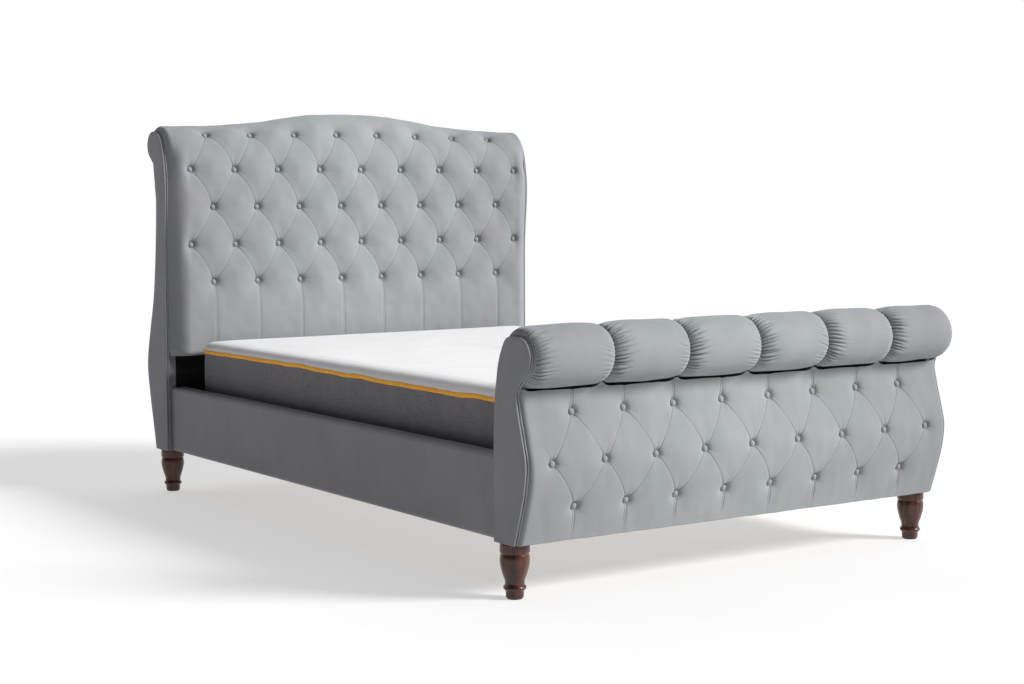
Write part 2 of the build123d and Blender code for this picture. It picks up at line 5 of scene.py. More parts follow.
import bmesh
import bpy
import numpy as np
from mathutils import Euler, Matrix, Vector


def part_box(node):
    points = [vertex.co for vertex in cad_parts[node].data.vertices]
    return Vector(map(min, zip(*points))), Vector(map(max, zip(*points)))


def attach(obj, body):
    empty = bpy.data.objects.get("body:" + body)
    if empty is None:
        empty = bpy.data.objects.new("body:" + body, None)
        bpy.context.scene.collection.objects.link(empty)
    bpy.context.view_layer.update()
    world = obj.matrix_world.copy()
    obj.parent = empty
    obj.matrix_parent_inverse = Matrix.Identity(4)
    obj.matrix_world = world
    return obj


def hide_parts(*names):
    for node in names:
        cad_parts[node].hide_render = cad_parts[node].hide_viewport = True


# Upholstered sleigh bed, in metres: X across the bed, -Y footboard, +Y headboard, Z = 0 floor.
# Head and foot profiles are drawn in (v, z): v is the distance from the footboard's leg axis,
# or from the headboard's front edge, and grows towards the head of the bed. That place on the
# bed is a profile's station.

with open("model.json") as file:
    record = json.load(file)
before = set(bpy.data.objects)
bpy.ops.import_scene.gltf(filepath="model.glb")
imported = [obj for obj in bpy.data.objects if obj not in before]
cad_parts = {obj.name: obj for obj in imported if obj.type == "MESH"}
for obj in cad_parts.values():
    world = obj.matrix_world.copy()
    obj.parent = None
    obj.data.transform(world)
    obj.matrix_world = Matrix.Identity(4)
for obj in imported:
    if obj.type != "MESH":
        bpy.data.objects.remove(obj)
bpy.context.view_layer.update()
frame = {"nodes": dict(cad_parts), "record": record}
MM = 0.001
SEED = 7
rng = np.random.default_rng(SEED)


def node_range(node, axis):
    """Lowest and highest coordinate of a CAD node along X, Y or Z (0, 1 or 2)."""
    low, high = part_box(node)
    return low[axis], high[axis]


# -------- sizes read from the CAD
CHEEK_X = node_range("headboard_cheek_cover_right", 0)[1]
COVER_X = node_range("headboard_cheek_cover_right", 0)[0]
BOARD_X = node_range("headboard_lining", 0)[1]
FOOT_Y = sum(node_range("leg_foot_left", 1)) / 2
HEAD_Y = node_range("headboard_lining", 1)[1]
LEG_H = node_range("leg_foot_left", 2)[1]
RAIL_Y = node_range("side_rail_board_left", 1)
RAIL_Z = node_range("side_rail_cover_left", 2)
RAIL_X = node_range("side_rail_cover_right", 0)
PAD_BASE = node_range("headboard_front_pad", 2)[0]
MATTRESS_X = node_range("mattress_border", 0)[1]
MATTRESS_Y = node_range("mattress_border", 1)
MATTRESS_Z = (node_range("mattress_base_panel", 2)[0], node_range("mattress_top_panel", 2)[1])

# -------- upholstery dimensions
HANDS = (("left", -1), ("right", 1))
HALF_PITCH = 0.086  # half the distance between two buttons of a row
EVEN_ROW = 8  # buttons in the lowest row and in every second row above it
ODD_ROW = 9
LAST_COLUMN = ODD_ROW - 1.0  # outermost button, in half pitches from the middle

# A scroll is a centre and a radius; its neck is the angle at which the outline runs into it.
# Outlines are (v, z) points in millimetres, from the floor upwards.
FOOT_SCROLL = np.array((-0.067, 0.640))
FOOT_SCROLL_R = 0.057
FOOT_NECK = 235.0
FOOT_FACE = [(-50, 148.5), (-78, 232), (-97, 302), (-103, 360), (-86, 434), (-70, 490), (-61, 545)]
FOOT_INNER = [(45, 383), (42, 487), (34, 564), (11, 652), (-13, 688)]
FOOT_ROWS = (0.239, 0.3645, 0.495)  # heights of the rows of buttons
FOOT_PROUD = 0.010  # how far the pad stands in front of the side panels' outline
FOOT_PAD_TOP = 0.582

CUSHIONS = 6
CUSHION_CENTRE = np.array((-0.062, 0.641))
CUSHION_RADII = (0.0905, 0.0825)  # along v and along z
CUSHION_SPAN = (36.0, 268.0)  # degrees of the scroll that a cushion covers
CUSHION_END = 0.040  # length over which an end is rounded
CUSHION_L = 2 * COVER_X / CUSHIONS
SLOT_Z = 0.5535  # top edge of the buttoned face, below the cushions
SLOT_DEPTH = 0.040
SLOT_DIP = 0.010
SEAM_POINT = 0.011  # height of the face's point below each seam of the roll

HEAD_SCROLL = np.array((0.081, 1.228))
HEAD_SCROLL_R = 0.050
HEAD_NECK = -50.0
HEAD_BACK = [(97, 148.5), (121, 248), (144, 343), (160, 440), (129, 584), (102, 677), (84, 786)]
HEAD_BACK += [(72, 895), (64, 1071), (68, 1145)]
BACK_TOP = [(76, 1215)]
HEAD_TOP = (81, 1278)
HEAD_FRONT = [(0, 148.5), (0, 500), (0, 864), (-8, 1140), (8, 1215), (23, 1248), (44, 1268)]
HEAD_ROWS = (0.746, 0.879, 1.012, 1.146, 1.284)
HEAD_PROUD = 0.060
CREST_BASE = 1.125  # height at which the face starts to roll back
CREST_V = 0.066
CREST_BACK = [(66, 0), (119, -28), (131, -66), (94, -112)]  # z from the top of the crest
CREST_SHOULDER = 1.2935
CREST_RISE = 0.0605
CREST_REACH = 0.345  # half the width of the hump at half its height

FOOT_STRIP_V = 0.0024  # front of the side panels' edge strips, behind their outlines
HEAD_STRIP_V = -0.0016
STRIP_X = CHEEK_X - 0.0075
EDGE_ROUND = 0.0040
PANEL_SINK = 0.0012  # how far a side panel's edges lie below its crowned middle
CREVICE = 0.0051  # depth of the groove the cord lies in
CORD_R = 0.0030
CORD_X = CHEEK_X - 0.0110
PAD_X = COVER_X - 0.0025  # half width of the pads between the side panels


# -------- curves
SPLINE_STEPS = 600


def unit(vector):
    return np.array(vector, float) / np.linalg.norm(vector)


def resample(points, count):
    """Evenly spaced points along a polyline."""
    steps = np.linalg.norm(np.diff(points, axis=0), axis=1)
    length = np.concatenate([[0.0], np.cumsum(steps)])
    wanted = np.linspace(0.0, length[-1], count)
    return np.stack([np.interp(wanted, length, column) for column in points.T], axis=1)


def spline(points, count, start=None, end=None):
    """Evenly spaced points along a smooth curve through points given in millimetres."""
    points = np.array(points, float) * MM
    chord = np.concatenate([[0.0], np.cumsum(np.linalg.norm(np.diff(points, axis=0), axis=1))])
    slope = np.gradient(points, chord, axis=0)
    if start is not None:
        slope[0] = unit(start)
    if end is not None:
        slope[-1] = unit(end)
    dense = np.linspace(0.0, chord[-1], SPLINE_STEPS)
    i = np.clip(np.searchsorted(chord, dense, side="right") - 1, 0, len(points) - 2)
    step = (chord[i + 1] - chord[i])[:, None]
    u = (dense - chord[i])[:, None] / step
    curve = (2 * u**3 - 3 * u**2 + 1) * points[i] + (u**3 - 2 * u**2 + u) * step * slope[i]
    curve += (3 * u**2 - 2 * u**3) * points[i + 1] + (u**3 - u**2) * step * slope[i + 1]
    return resample(curve, count)


def arc(centre, radius, first, last, count):
    """Points round a circle between two angles in degrees."""
    angles = np.radians(np.linspace(first, last, count))
    return centre + np.stack([np.cos(angles), np.sin(angles)], axis=1) * radius


def smooth(value, low, high):
    """0 below low, 1 above high, and an eased step between."""
    u = np.clip((value - low) / (high - low), 0.0, 1.0)
    return u * u * (3 - 2 * u)


def normals(curve):
    """Left-hand normals of (v, z) curves whose points run along the first axis."""
    along = np.gradient(curve, axis=0)
    along = along / np.maximum(np.linalg.norm(along, axis=-1, keepdims=True), 1e-9)
    return np.stack([-along[..., 1], along[..., 0]], axis=-1)


class Ripple:
    """A smooth, seeded, repeatable wobble over a plane, about -1 to 1."""

    def __init__(self, wavelength, waves=9):
        angle = rng.uniform(0, 2 * math.pi, waves)
        pitch = 2 * math.pi / (wavelength * rng.uniform(0.7, 1.6, waves))
        self.kx, self.ky = pitch * np.cos(angle), pitch * np.sin(angle)
        self.phase = rng.uniform(0, 2 * math.pi, waves)

    def __call__(self, x, y):
        x, y = np.broadcast_arrays(x, y)
        waves = np.sin(x[..., None] * self.kx + y[..., None] * self.ky + self.phase)
        return waves.sum(axis=-1) / math.sqrt(len(self.phase)) * 0.8


# -------- meshes
WELD = 1e-6


def new_object(name, verts, faces, slot, body, sharp=50.0):
    """A smooth-shaded piece that rides on a body; edges over sharp degrees stay crisp."""
    mesh = bpy.data.meshes.new(name)
    mesh.from_pydata(np.asarray(verts).reshape(-1, 3).tolist(), [], faces)
    bm = bmesh.new()
    bm.from_mesh(mesh)
    bmesh.ops.remove_doubles(bm, verts=bm.verts, dist=WELD)
    bmesh.ops.recalc_face_normals(bm, faces=bm.faces)
    bm.to_mesh(mesh)
    bm.free()
    mesh.shade_smooth()
    mesh.set_sharp_from_angle(angle=math.radians(sharp))
    mesh.materials.append(MATERIALS[slot])
    made = bpy.data.objects.new(name, mesh)
    bpy.context.scene.collection.objects.link(made)
    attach(made, body)
    return made


def zipped(first, second):
    """Triangles between two chains of indices that run the same way."""
    faces = []
    i, j = 0, 0
    while i < len(first) - 1 or j < len(second) - 1:
        behind = (i + 1) * len(second) <= (j + 1) * len(first)
        if j == len(second) - 1 or (i < len(first) - 1 and behind):
            faces.append([first[i], first[i + 1], second[j]])
            i += 1
        else:
            faces.append([first[i], second[j + 1], second[j]])
            j += 1
    return faces


def end_strips(rows, cols, split):
    """Ends of a hollow section whose outside is its first split rows and whose inside is the rest."""
    faces = []
    for edge in (0, cols - 1):
        loop = [row * cols + edge for row in range(rows)]
        faces += zipped(loop[:split], loop[split:][::-1])
    return faces


def grid_faces(
    rows, cols, wrap_rows=False, wrap_cols=False, cap_cols=False, cap_rows=False, split=None, halved=False
):
    """Quads of a grid of points, closed round either way.

    cap_cols and cap_rows close its ends with one face each, split closes the ends of a hollow
    section whose outside is that many rows, and halved zips each end row's two halves together.
    """
    index = np.arange(rows * cols).reshape(rows, cols)
    ring = index
    if wrap_rows:
        ring = np.vstack([ring, ring[:1]])
    if wrap_cols:
        ring = np.hstack([ring, ring[:, :1]])
    quads = np.stack([ring[:-1, :-1], ring[:-1, 1:], ring[1:, 1:], ring[1:, :-1]], axis=-1)
    faces = quads.reshape(-1, 4).tolist()
    if split is not None:
        faces += end_strips(rows, cols, split)
    if cap_cols:
        faces += [index[:, 0].tolist(), index[:, -1].tolist()]
    if cap_rows:
        faces += [index[0].tolist(), index[-1].tolist()]
    if halved:
        middle = cols // 2
        for end in (index[0], index[-1]):
            faces += zipped(end[:middle], end[middle:][::-1])
    return faces


def grid_object(name, points, slot, body="bed_frame", sharp=50.0, **closing):
    rows, cols = points.shape[:2]
    return new_object(name, points, grid_faces(rows, cols, **closing), slot, body, sharp)


def in_row_frame(x, curve, station):
    """(x, y, z) points from x and (v, z) arrays of matching shapes."""
    return np.stack(np.broadcast_arrays(x, curve[..., 0] + station, curve[..., 1]), axis=-1)


def declare_padded(made, replaced):
    """Hide the CAD nodes that a soft piece stands for."""
    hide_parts(*replaced)


def pad_object(name, points, replaced, slot="velvet", body="bed_frame", fill=0.8, **closing):
    declare_padded(grid_object(name, points, slot, body, **closing), replaced)


def tube(path, radius, sides=12, closed=False):
    """Grid of points round a path; radius is one number or one for each point."""
    if closed:
        along = np.roll(path, -1, axis=0) - np.roll(path, 1, axis=0)
    else:
        along = np.gradient(path, axis=0)
    along /= np.linalg.norm(along, axis=1, keepdims=True)
    across = np.cross(along, (0.03, 0.05, 1.0) if closed else (1.0, 0.03, 0.05))
    across /= np.linalg.norm(across, axis=1, keepdims=True)
    upward = np.cross(across, along)
    turn = np.linspace(0, 2 * math.pi, sides, endpoint=False)[None, :, None]
    radius = np.broadcast_to(radius, len(path))[:, None, None]
    ring = across[:, None] * np.cos(turn) + upward[:, None] * np.sin(turn)
    return path[:, None] + ring * radius


# -------- materials
MIX_FACTOR, MIX_A, MIX_B = 0, 6, 7  # colour sockets of a Mix node
MIX_RESULT = 2
WHITE = (1.0, 1.0, 1.0, 1.0)


def grey(level):
    return (level, level, level)


def add_node(tree, kind, result, **inputs):
    """Result socket of a new node; each input is a value or another node's socket."""
    node = tree.nodes.new(f"ShaderNode{kind}")
    for name, value in inputs.items():
        socket = node.inputs[name.replace("_", " ")]
        if isinstance(value, bpy.types.NodeSocket):
            tree.links.new(value, socket)
        else:
            socket.default_value = value
    return node.outputs[result]


def add_mix(tree, first, second, factor, blend="MIX"):
    """Colour socket of a mix of two colours; either may be a value or a socket, like the factor."""
    node = tree.nodes.new("ShaderNodeMix")
    node.data_type = "RGBA"
    node.blend_type = blend
    for socket, value in ((MIX_FACTOR, factor), (MIX_A, first), (MIX_B, second)):
        if isinstance(value, bpy.types.NodeSocket):
            tree.links.new(value, node.inputs[socket])
        else:
            node.inputs[socket].default_value = value
    return node.outputs[MIX_RESULT]


class Shader:
    """A Principled material and short calls that add nodes to it."""

    def __init__(self, name, **values):
        self.material = bpy.data.materials.new(name)
        self.material.use_nodes = True
        self.tree = self.material.node_tree
        self.surface = self.tree.nodes["Principled BSDF"]
        for socket, value in values.items():
            self.surface.inputs[socket.replace("_", " ")].default_value = value
        self.place = self.add("TexCoord", "Object")

    def add(self, kind, result, **inputs):
        return add_node(self.tree, kind, result, **inputs)

    def drive(self, socket, source):
        self.tree.links.new(source, self.surface.inputs[socket])

    def stretched(self, scale):
        """The piece's own coordinates, scaled along each axis."""
        return self.add("Mapping", "Vector", Vector=self.place, Scale=scale)

    def from_centre(self):
        """Distance in metres from the bed's centre line."""
        size = self.add("Math", "Value", Value=self.add("SeparateXYZ", "X", Vector=self.place))
        size.node.operation = "ABSOLUTE"
        return size

    def noise(self, scale, detail=3.0, stretch=(1, 1, 1), distortion=0.0):
        shape = {"Scale": scale, "Detail": detail, "Distortion": distortion}
        return self.add("TexNoise", "Fac", Vector=self.stretched(stretch), **shape)

    def bands(self, scale, direction, distortion=0.0, stretch=(1, 1, 1)):
        shape = {"Scale": scale, "Distortion": distortion}
        wave = self.add("TexWave", "Fac", Vector=self.stretched(stretch), **shape)
        wave.node.bands_direction = direction
        return wave

    def ramp(self, factor, stops):
        """Colour along (position, colour) stops."""
        colour = self.add("ValToRGB", "Color", Fac=factor)
        elements = colour.node.color_ramp.elements
        while len(elements) < len(stops):
            elements.new(0.5)
        for element, (position, shade) in zip(elements, stops):
            element.position = position
            element.color = (*shade, 1.0)
        return colour

    def mix(self, first, second, factor):
        return add_mix(self.tree, first, second, factor)

    def multiplied(self, first, second, factor=1.0):
        return add_mix(self.tree, first, second, factor, "MULTIPLY")

    def colour(self, source):
        self.drive("Base Color", source)

    def roughness(self, factor, low, high):
        self.drive("Roughness", self.add("MapRange", "Result", Value=factor, To_Min=low, To_Max=high))

    def bump(self, *layers):
        """Each layer is (height, distance in metres, strength)."""
        below = {}
        for height, distance, strength in layers:
            shape = {"Height": height, "Distance": distance, "Strength": strength}
            below = {"Normal": self.add("Bump", "Normal", **shape, **below)}
        self.drive("Normal", below["Normal"])
        return self.material


def velvet(name, painted_shading_stops):
    """Short grey pile: patches where it lies differently, faint streaks and a sheen.

    The stops are (metres from the bed's centre line, tint) pairs of painted light and shade, which tint the
    cloth by its distance from the centre line.
    """
    s = Shader(name, Roughness=0.8, Specular_IOR_Level=0.25)
    s.surface.inputs["Sheen Weight"].default_value = 0.18
    s.surface.inputs["Sheen Roughness"].default_value = 0.45
    s.surface.inputs["Sheen Tint"].default_value = (0.93, 0.95, 1.0, 1.0)
    patches = s.ramp(
        s.noise(6.5, 2.0, distortion=0.6),
        [(0.34, (0.246, 0.259, 0.257)), (0.52, (0.254, 0.262, 0.267)), (0.68, (0.263, 0.263, 0.275))],
    )
    streaks = s.ramp(s.noise(16.0, 4.0, stretch=(1.0, 1.0, 0.3)), [(0.3, grey(0.955)), (0.7, grey(1.03))])
    pile = s.ramp(s.noise(900.0, 2.0), [(0.3, grey(0.92)), (0.7, grey(1.06))])
    # Painted light and shade: the colour is scaled by the distance from the bed's centre line.
    painted_shading = s.ramp(s.from_centre(), painted_shading_stops)
    s.colour(s.multiplied(s.multiplied(s.multiplied(patches, streaks), painted_shading), pile))
    s.roughness(s.noise(14.0, 3.0), 0.72, 0.88)
    folds = s.noise(60.0, 3.0, distortion=0.4)
    return s.bump((folds, 0.0006, 0.25), (s.noise(1400.0, 2.0), 0.0003, 0.35))


def turned_wood():
    """Dark walnut stain under gloss lacquer, the grain along the leg."""
    s = Shader("turned_wood", Coat_Weight=0.35, Coat_Roughness=0.16, Specular_IOR_Level=0.3)
    grain = s.noise(55.0, 6.0, stretch=(1.0, 1.0, 0.07), distortion=1.2)
    stain = [(0.28, (0.022, 0.0065, 0.0035)), (0.5, (0.062, 0.019, 0.010)), (0.74, (0.120, 0.038, 0.018))]
    pores = s.noise(520.0, 3.0, stretch=(1.0, 1.0, 0.05))
    s.colour(s.multiplied(s.ramp(grain, stain), s.ramp(pores, [(0.36, grey(0.6)), (0.5, grey(1))]), 0.7))
    s.roughness(grain, 0.24, 0.42)
    return s.bump((pores, 0.0002, 0.3))


def timber(name, dark, light, stretch):
    """Planed softwood with its grain along the stretched axis."""
    s = Shader(name, Specular_IOR_Level=0.35)
    grain = s.noise(42.0, 5.0, stretch=stretch, distortion=0.8)
    rings = s.bands(9.0, "DIAGONAL", 5.0, stretch=stretch)
    tone = s.ramp(grain, [(0.3, dark), (0.7, light)])
    bands = s.ramp(rings, [(0.2, (0.82, 0.78, 0.72)), (0.6, grey(1))])
    s.colour(s.multiplied(tone, bands, 0.6))
    s.roughness(grain, 0.5, 0.68)
    return s.bump((s.noise(300.0, 3.0, stretch=stretch), 0.0003, 0.3))


def fabric(name, dark, light, thread, lift, sheen):
    """Plain woven cloth: thread is the fineness of its warp and weft, lift how strongly they show."""
    s = Shader(name, Roughness=0.9, Specular_IOR_Level=0.15)
    s.surface.inputs["Sheen Weight"].default_value = sheen
    warp = s.noise(thread, 2.0, stretch=(1.0, 1.0, 0.1))
    weft = s.noise(thread, 2.0, stretch=(0.1, 0.1, 1.0))
    weave = s.mix(warp, weft, 0.5)
    tone = s.ramp(s.noise(11.0, 4.0, stretch=(1, 1, 0.3)), [(0.3, dark), (0.7, light)])
    shade = s.ramp(weave, [(0.4, grey(0.86)), (0.6, grey(1.08))])
    s.colour(s.multiplied(tone, shade))
    return s.bump((weave, 0.0004, lift))


def mattress_knit():
    """White knitted cover with fine ribs across the bed."""
    s = Shader("mattress_knit", Roughness=0.85, Specular_IOR_Level=0.2)
    s.surface.inputs["Sheen Weight"].default_value = 0.15
    ribs = s.bands(26.0, "Y", 0.3)
    tone = s.ramp(s.noise(9.0, 3.0), [(0.3, (0.73, 0.73, 0.735)), (0.7, grey(0.77))])
    shade = s.ramp(ribs, [(0.15, (0.955, 0.955, 0.96)), (0.6, grey(1))])
    s.colour(s.multiplied(tone, shade))
    return s.bump((ribs, 0.0011, 0.45), (s.noise(420.0, 2.0), 0.0005, 0.5))


def moulded(name, colour_low, colour_high, rough, metallic=0.0, grain=260.0):
    """Faintly mottled metal, plastic or felt with a fine grain."""
    s = Shader(name, Metallic=metallic, Specular_IOR_Level=0.45)
    mottle = s.noise(38.0, 4.0)
    s.colour(s.ramp(mottle, [(0.3, colour_low), (0.7, colour_high)]))
    s.roughness(mottle, rough - 0.07, rough + 0.07)
    return s.bump((s.noise(grain, 3.0), 0.0002, 0.3))


def foam():
    """Open-cell upholstery foam."""
    s = Shader("foam", Roughness=0.95, Specular_IOR_Level=0.1)
    s.colour(s.ramp(s.noise(20.0, 3.0), [(0.3, (0.72, 0.68, 0.52)), (0.7, (0.80, 0.77, 0.62))]))
    return s.bump((s.noise(900.0, 2.0), 0.0006, 0.6))


# Painted light: the velvet is brighter and greener in the middle of the bed, and darker and bluer towards
# its ends.
FACE_PAINTED_LIGHT = [(0.0, (1.13, 1.15, 1.14)), (0.45, (1.02, 1.03, 1.03)), (0.76, (0.91, 0.90, 0.925))]
# Painted shade: the side panels and rails get a darker, purpler copy of the velvet because their faces are
# turned from the key light.
SIDE_PAINTED_SHADE = [(0.70, (0.80, 0.775, 0.81)), (0.78, (0.84, 0.81, 0.85))]
LINING_TONES = ((0.0085, 0.0085, 0.009), (0.0115, 0.0115, 0.012))
BORDER_TONES = ((0.172, 0.168, 0.186), (0.196, 0.191, 0.210))
PIPING_TONES = ((0.95, 0.42, 0.035), (1.0, 0.50, 0.050))
MATERIALS = {
    "velvet": velvet("velvet", FACE_PAINTED_LIGHT),
    # A darker, purpler copy of the velvet: painted shade for the faces turned from the key light.
    "velvet_painted_shade": velvet("velvet_painted_shade", SIDE_PAINTED_SHADE),
    "turned_wood": turned_wood(),
    "pine": timber("pine", (0.50, 0.33, 0.17), (0.66, 0.48, 0.28), (0.12, 1.0, 1.0)),
    "plywood": timber("plywood", (0.46, 0.31, 0.17), (0.58, 0.42, 0.25), (1.0, 1.0, 0.12)),
    "foam": foam(),
    "black_lining": fabric("black_lining", *LINING_TONES, 420.0, 0.3, 0.0),
    "zinc_steel": moulded("zinc_steel", (0.50, 0.51, 0.53), (0.63, 0.64, 0.66), 0.36, 1.0),
    "black_plastic": moulded("black_plastic", (0.012, 0.012, 0.013), (0.02, 0.02, 0.021), 0.45),
    "felt": moulded("felt", (0.05, 0.045, 0.042), (0.075, 0.07, 0.065), 0.9, 0.0, 900.0),
    "mattress_knit": mattress_knit(),
    "mattress_border": fabric("mattress_border", *BORDER_TONES, 320.0, 0.35, 0.1),
    "mattress_piping": fabric("mattress_piping", *PIPING_TONES, 520.0, 0.5, 0.15),
}


def finish_cad_nodes():
    """Give every CAD node that stays in view the procedural material of its slot."""
    for part in frame["record"]["subparts"]:
        mesh = frame["nodes"][part["node"]].data
        mesh.materials.clear()
        mesh.materials.append(MATERIALS[part["material_slot"]])


# -------- buttoned boards
HEAD_CELLS = 34  # grid cells in half a pitch, from a column of buttons to the next
FOOT_CELLS = 44
PINCH = 0.42  # how much closer the grid lies at the buttons than between them
PAD_MARGIN = 0.012  # strip with closer columns at each side of a pad
MARGIN_SHARES = (0.86, 0.72, 0.58, 0.45, 0.33, 0.22, 0.13, 0.06, 0.02, 0.0)

# Buttoned boards. Lattice row 0 is the lowest row of buttons and each next row is one more;
# pads are the CAD nodes that the board's pad stands for.
Board = namedtuple("Board", "name rows station pads style")

# How a board is buttoned, in metres: height of its puffs, depth of its dimples and pleats,
# width of a pleat's sharp line, how far pleats bow, 1 where the cloth is loose above the buttons,
# how much the lowest pleats are pulled flat at the bottom edge, how far buttons are raised,
# and how unevenly the filling lies.
Tufting = namedtuple("Tufting", "puff dimple pleat line bow loose_top flat_base proud sag")
HEAD_TUFTING = Tufting(0.0085, 0.0185, 0.0034, 0.0018, 0.0065, 1.0, 0.0, 0.004, 0.0009)
FOOT_TUFTING = Tufting(0.0026, 0.0150, 0.0028, 0.0011, 0.0030, 0.0, 0.8, 0.002, 0.0005)
HEAD_PADS = ["headboard_front_pad", "headboard_crest_pad"]
HEADBOARD = Board("headboard", HEAD_ROWS, HEAD_Y, HEAD_PADS, HEAD_TUFTING)
FOOTBOARD = Board("footboard", FOOT_ROWS, FOOT_Y, ["footboard_front_pad"], FOOT_TUFTING)


def row_pitch(board):
    return (board.rows[-1] - board.rows[0]) / (len(board.rows) - 1)


def row_height(board, p):
    """Height of lattice rows p, which run on evenly below and above the buttons."""
    last = len(board.rows) - 1
    z = np.interp(p, range(len(board.rows)), board.rows)
    z = np.where(p < 0, board.rows[0] + p * row_pitch(board), z)
    return np.where(p > last, board.rows[-1] + (p - last) * row_pitch(board), z)


def pinched(value):
    return value - PINCH * np.sin(2 * math.pi * value) / (2 * math.pi)


def lattice_line(low, high, cells):
    """Grid lines between low and high in lattice units, with both ends on a line."""
    steps = np.arange(math.floor(low * cells) - cells, math.ceil(high * cells) + cells)
    line = pinched(steps / cells)
    line = line[(line > low + 0.01) & (line < high - 0.01)]
    return np.concatenate([[low], line, [high]])


def lattice_rows(low, last, high, cells, plain):
    """Grid rows: fine between the first and last rows of buttons, coarser beyond them."""
    below = np.linspace(low, 0.0, max(3, int(-low * plain)))[:-1]
    above = np.linspace(last, high, max(2, int((high - last) * plain)))[1:] if high > last else []
    return np.concatenate([below, lattice_line(0.0, last, cells), above])


def board_faces(u, p):
    """Triangles of a buttoned grid, each cell split along the nearer pleat."""
    rows, cols = p.shape
    index = np.arange(rows * cols).reshape(rows, cols)
    a, b, c, d = index[:-1, :-1], index[:-1, 1:], index[1:, 1:], index[1:, :-1]
    middle_u, middle_p = (u[:-1] + u[1:])[None, :] / 2, (p[:-1, :-1] + p[1:, :-1]) / 2
    falling = (middle_u + middle_p - 1) / 2
    rising = (middle_u - middle_p - 1) / 2
    split = np.abs(falling - np.round(falling)) < np.abs(rising - np.round(rising))
    first = np.where(split[..., None], np.stack([a, b, d], -1), np.stack([a, b, c], -1))
    second = np.where(split[..., None], np.stack([b, c, d], -1), np.stack([a, c, d], -1))
    faces = np.concatenate([first.reshape(-1, 3), second.reshape(-1, 3)]).tolist()
    back = np.stack([index[-1, :-1], index[-1, 1:], index[0, 1:], index[0, :-1]], -1)
    return faces + back.tolist() + [index[:, 0].tolist(), index[:, -1].tolist()]


def board_columns(cells):
    """x in metres of the columns across a padded board, closer together at its edges."""
    flat = (PAD_X - PAD_MARGIN) / HALF_PITCH
    middle = lattice_line(-flat, flat, cells) * HALF_PITCH
    edge = PAD_X - PAD_MARGIN * np.array(MARGIN_SHARES)
    return np.concatenate([-edge[::-1], middle, edge])


def side_roll(x, width):
    """How far each column is into the last width metres of the board, from 0 to 1."""
    return np.clip(1 - (PAD_X - np.abs(x)) / width, 0.0, 1.0)


def round_corner(past):
    """Share of the way from face to edge along a quarter circle."""
    return 1 - np.sqrt(1 - past**2)


def button_places(rows):
    """(x, lattice row) of every button; even and odd rows alternate."""
    places = []
    for row in range(rows):
        count = ODD_ROW if row % 2 else EVEN_ROW
        places += [((2 * i - count + 1) * HALF_PITCH, row) for i in range(count)]
    return places


def crease(distance, width):
    """A sharp valley: 1 on the line, falling away on both sides."""
    return np.exp(-np.abs(distance) / width)


FOLD_OFFSET = 0.0036  # a pressed pleat's sharp line lies this far beside its button
DIMPLE_REACH = 0.075
DIMPLE_FLOOR_R = 0.0135
DIMPLE_CONE_R = 0.021
FAN_ANGLES = (58, 90, 124, 205, 335)  # of the short creases round a button, in degrees
FAN_DEPTH = 0.0016
# (radius, height) in millimetres from the middle of a button's dome, out and under its edge.
BUTTON_DOME = [(0.0, 12.4), (3.2, 12.1), (6.2, 11.0), (8.6, 8.8)]
BUTTON_DOME += [(10.1, 5.8), (10.6, 2.6), (10.0, -0.6), (7.0, -3.0)]


def tufted_depth(board, x, p):
    """Depth in metres of a buttoned surface behind its puffs, at x and lattice row p."""
    style = board.style
    u = x / HALF_PITCH
    last = len(board.rows) - 1
    inside = np.clip(p, 0.0, last)
    wave = -np.cos(math.pi * u) * np.cos(math.pi * inside)
    beyond = smooth(np.maximum(-p, p - last), 0.0, 0.75)
    outside = smooth(np.abs(u), LAST_COLUMN, LAST_COLUMN + 0.7)
    wave = wave * (1 - beyond) - 0.8 * beyond
    wave = wave * (1 - outside) - 0.9 * outside
    depth = style.puff * (1 + wave) / 2

    # Pleats along both diagonals, deepest beside the buttons.
    across = 2 * HALF_PITCH * math.sin(math.atan2(row_pitch(board), HALF_PITCH))
    along = np.abs(2 * (inside % 1.0) - 1)
    strength = style.pleat * (0.5 + 0.5 * along**3)
    strength = strength * (1 - smooth(np.abs(u), LAST_COLUMN, LAST_COLUMN + 0.15))
    strength = strength * (1 - smooth(np.maximum(-p, p - last), 0.0, 0.06))
    for lean in (1, -1):
        line = (u + lean * inside - 1) / 2
        off = np.abs(line - np.round(line)) * across
        depth = depth + strength * (0.7 * crease(off, style.line) + 0.3 * crease(off, 4 * style.line))

    # A pressed pleat runs straight down, and up where it is taut, from each button of the end rows.
    column = np.abs(((u - 1) % 2.0 + 1) % 2.0 - 1) * HALF_PITCH
    buttoned = 1 - smooth(np.abs(u), EVEN_ROW - 0.5, EVEN_ROW - 0.4)
    below = smooth(-p, -0.02, 0.05) * buttoned
    above = smooth(p - last, -0.02, 0.05) * buttoned * (1 - style.loose_top)
    below = below * (1 - style.flat_base * smooth(-p, 0.30, 0.62))
    folds = crease(column - FOLD_OFFSET, 0.0011) * 0.0016 + crease(column, 0.007) * 0.0014
    return depth + (below + above) * folds


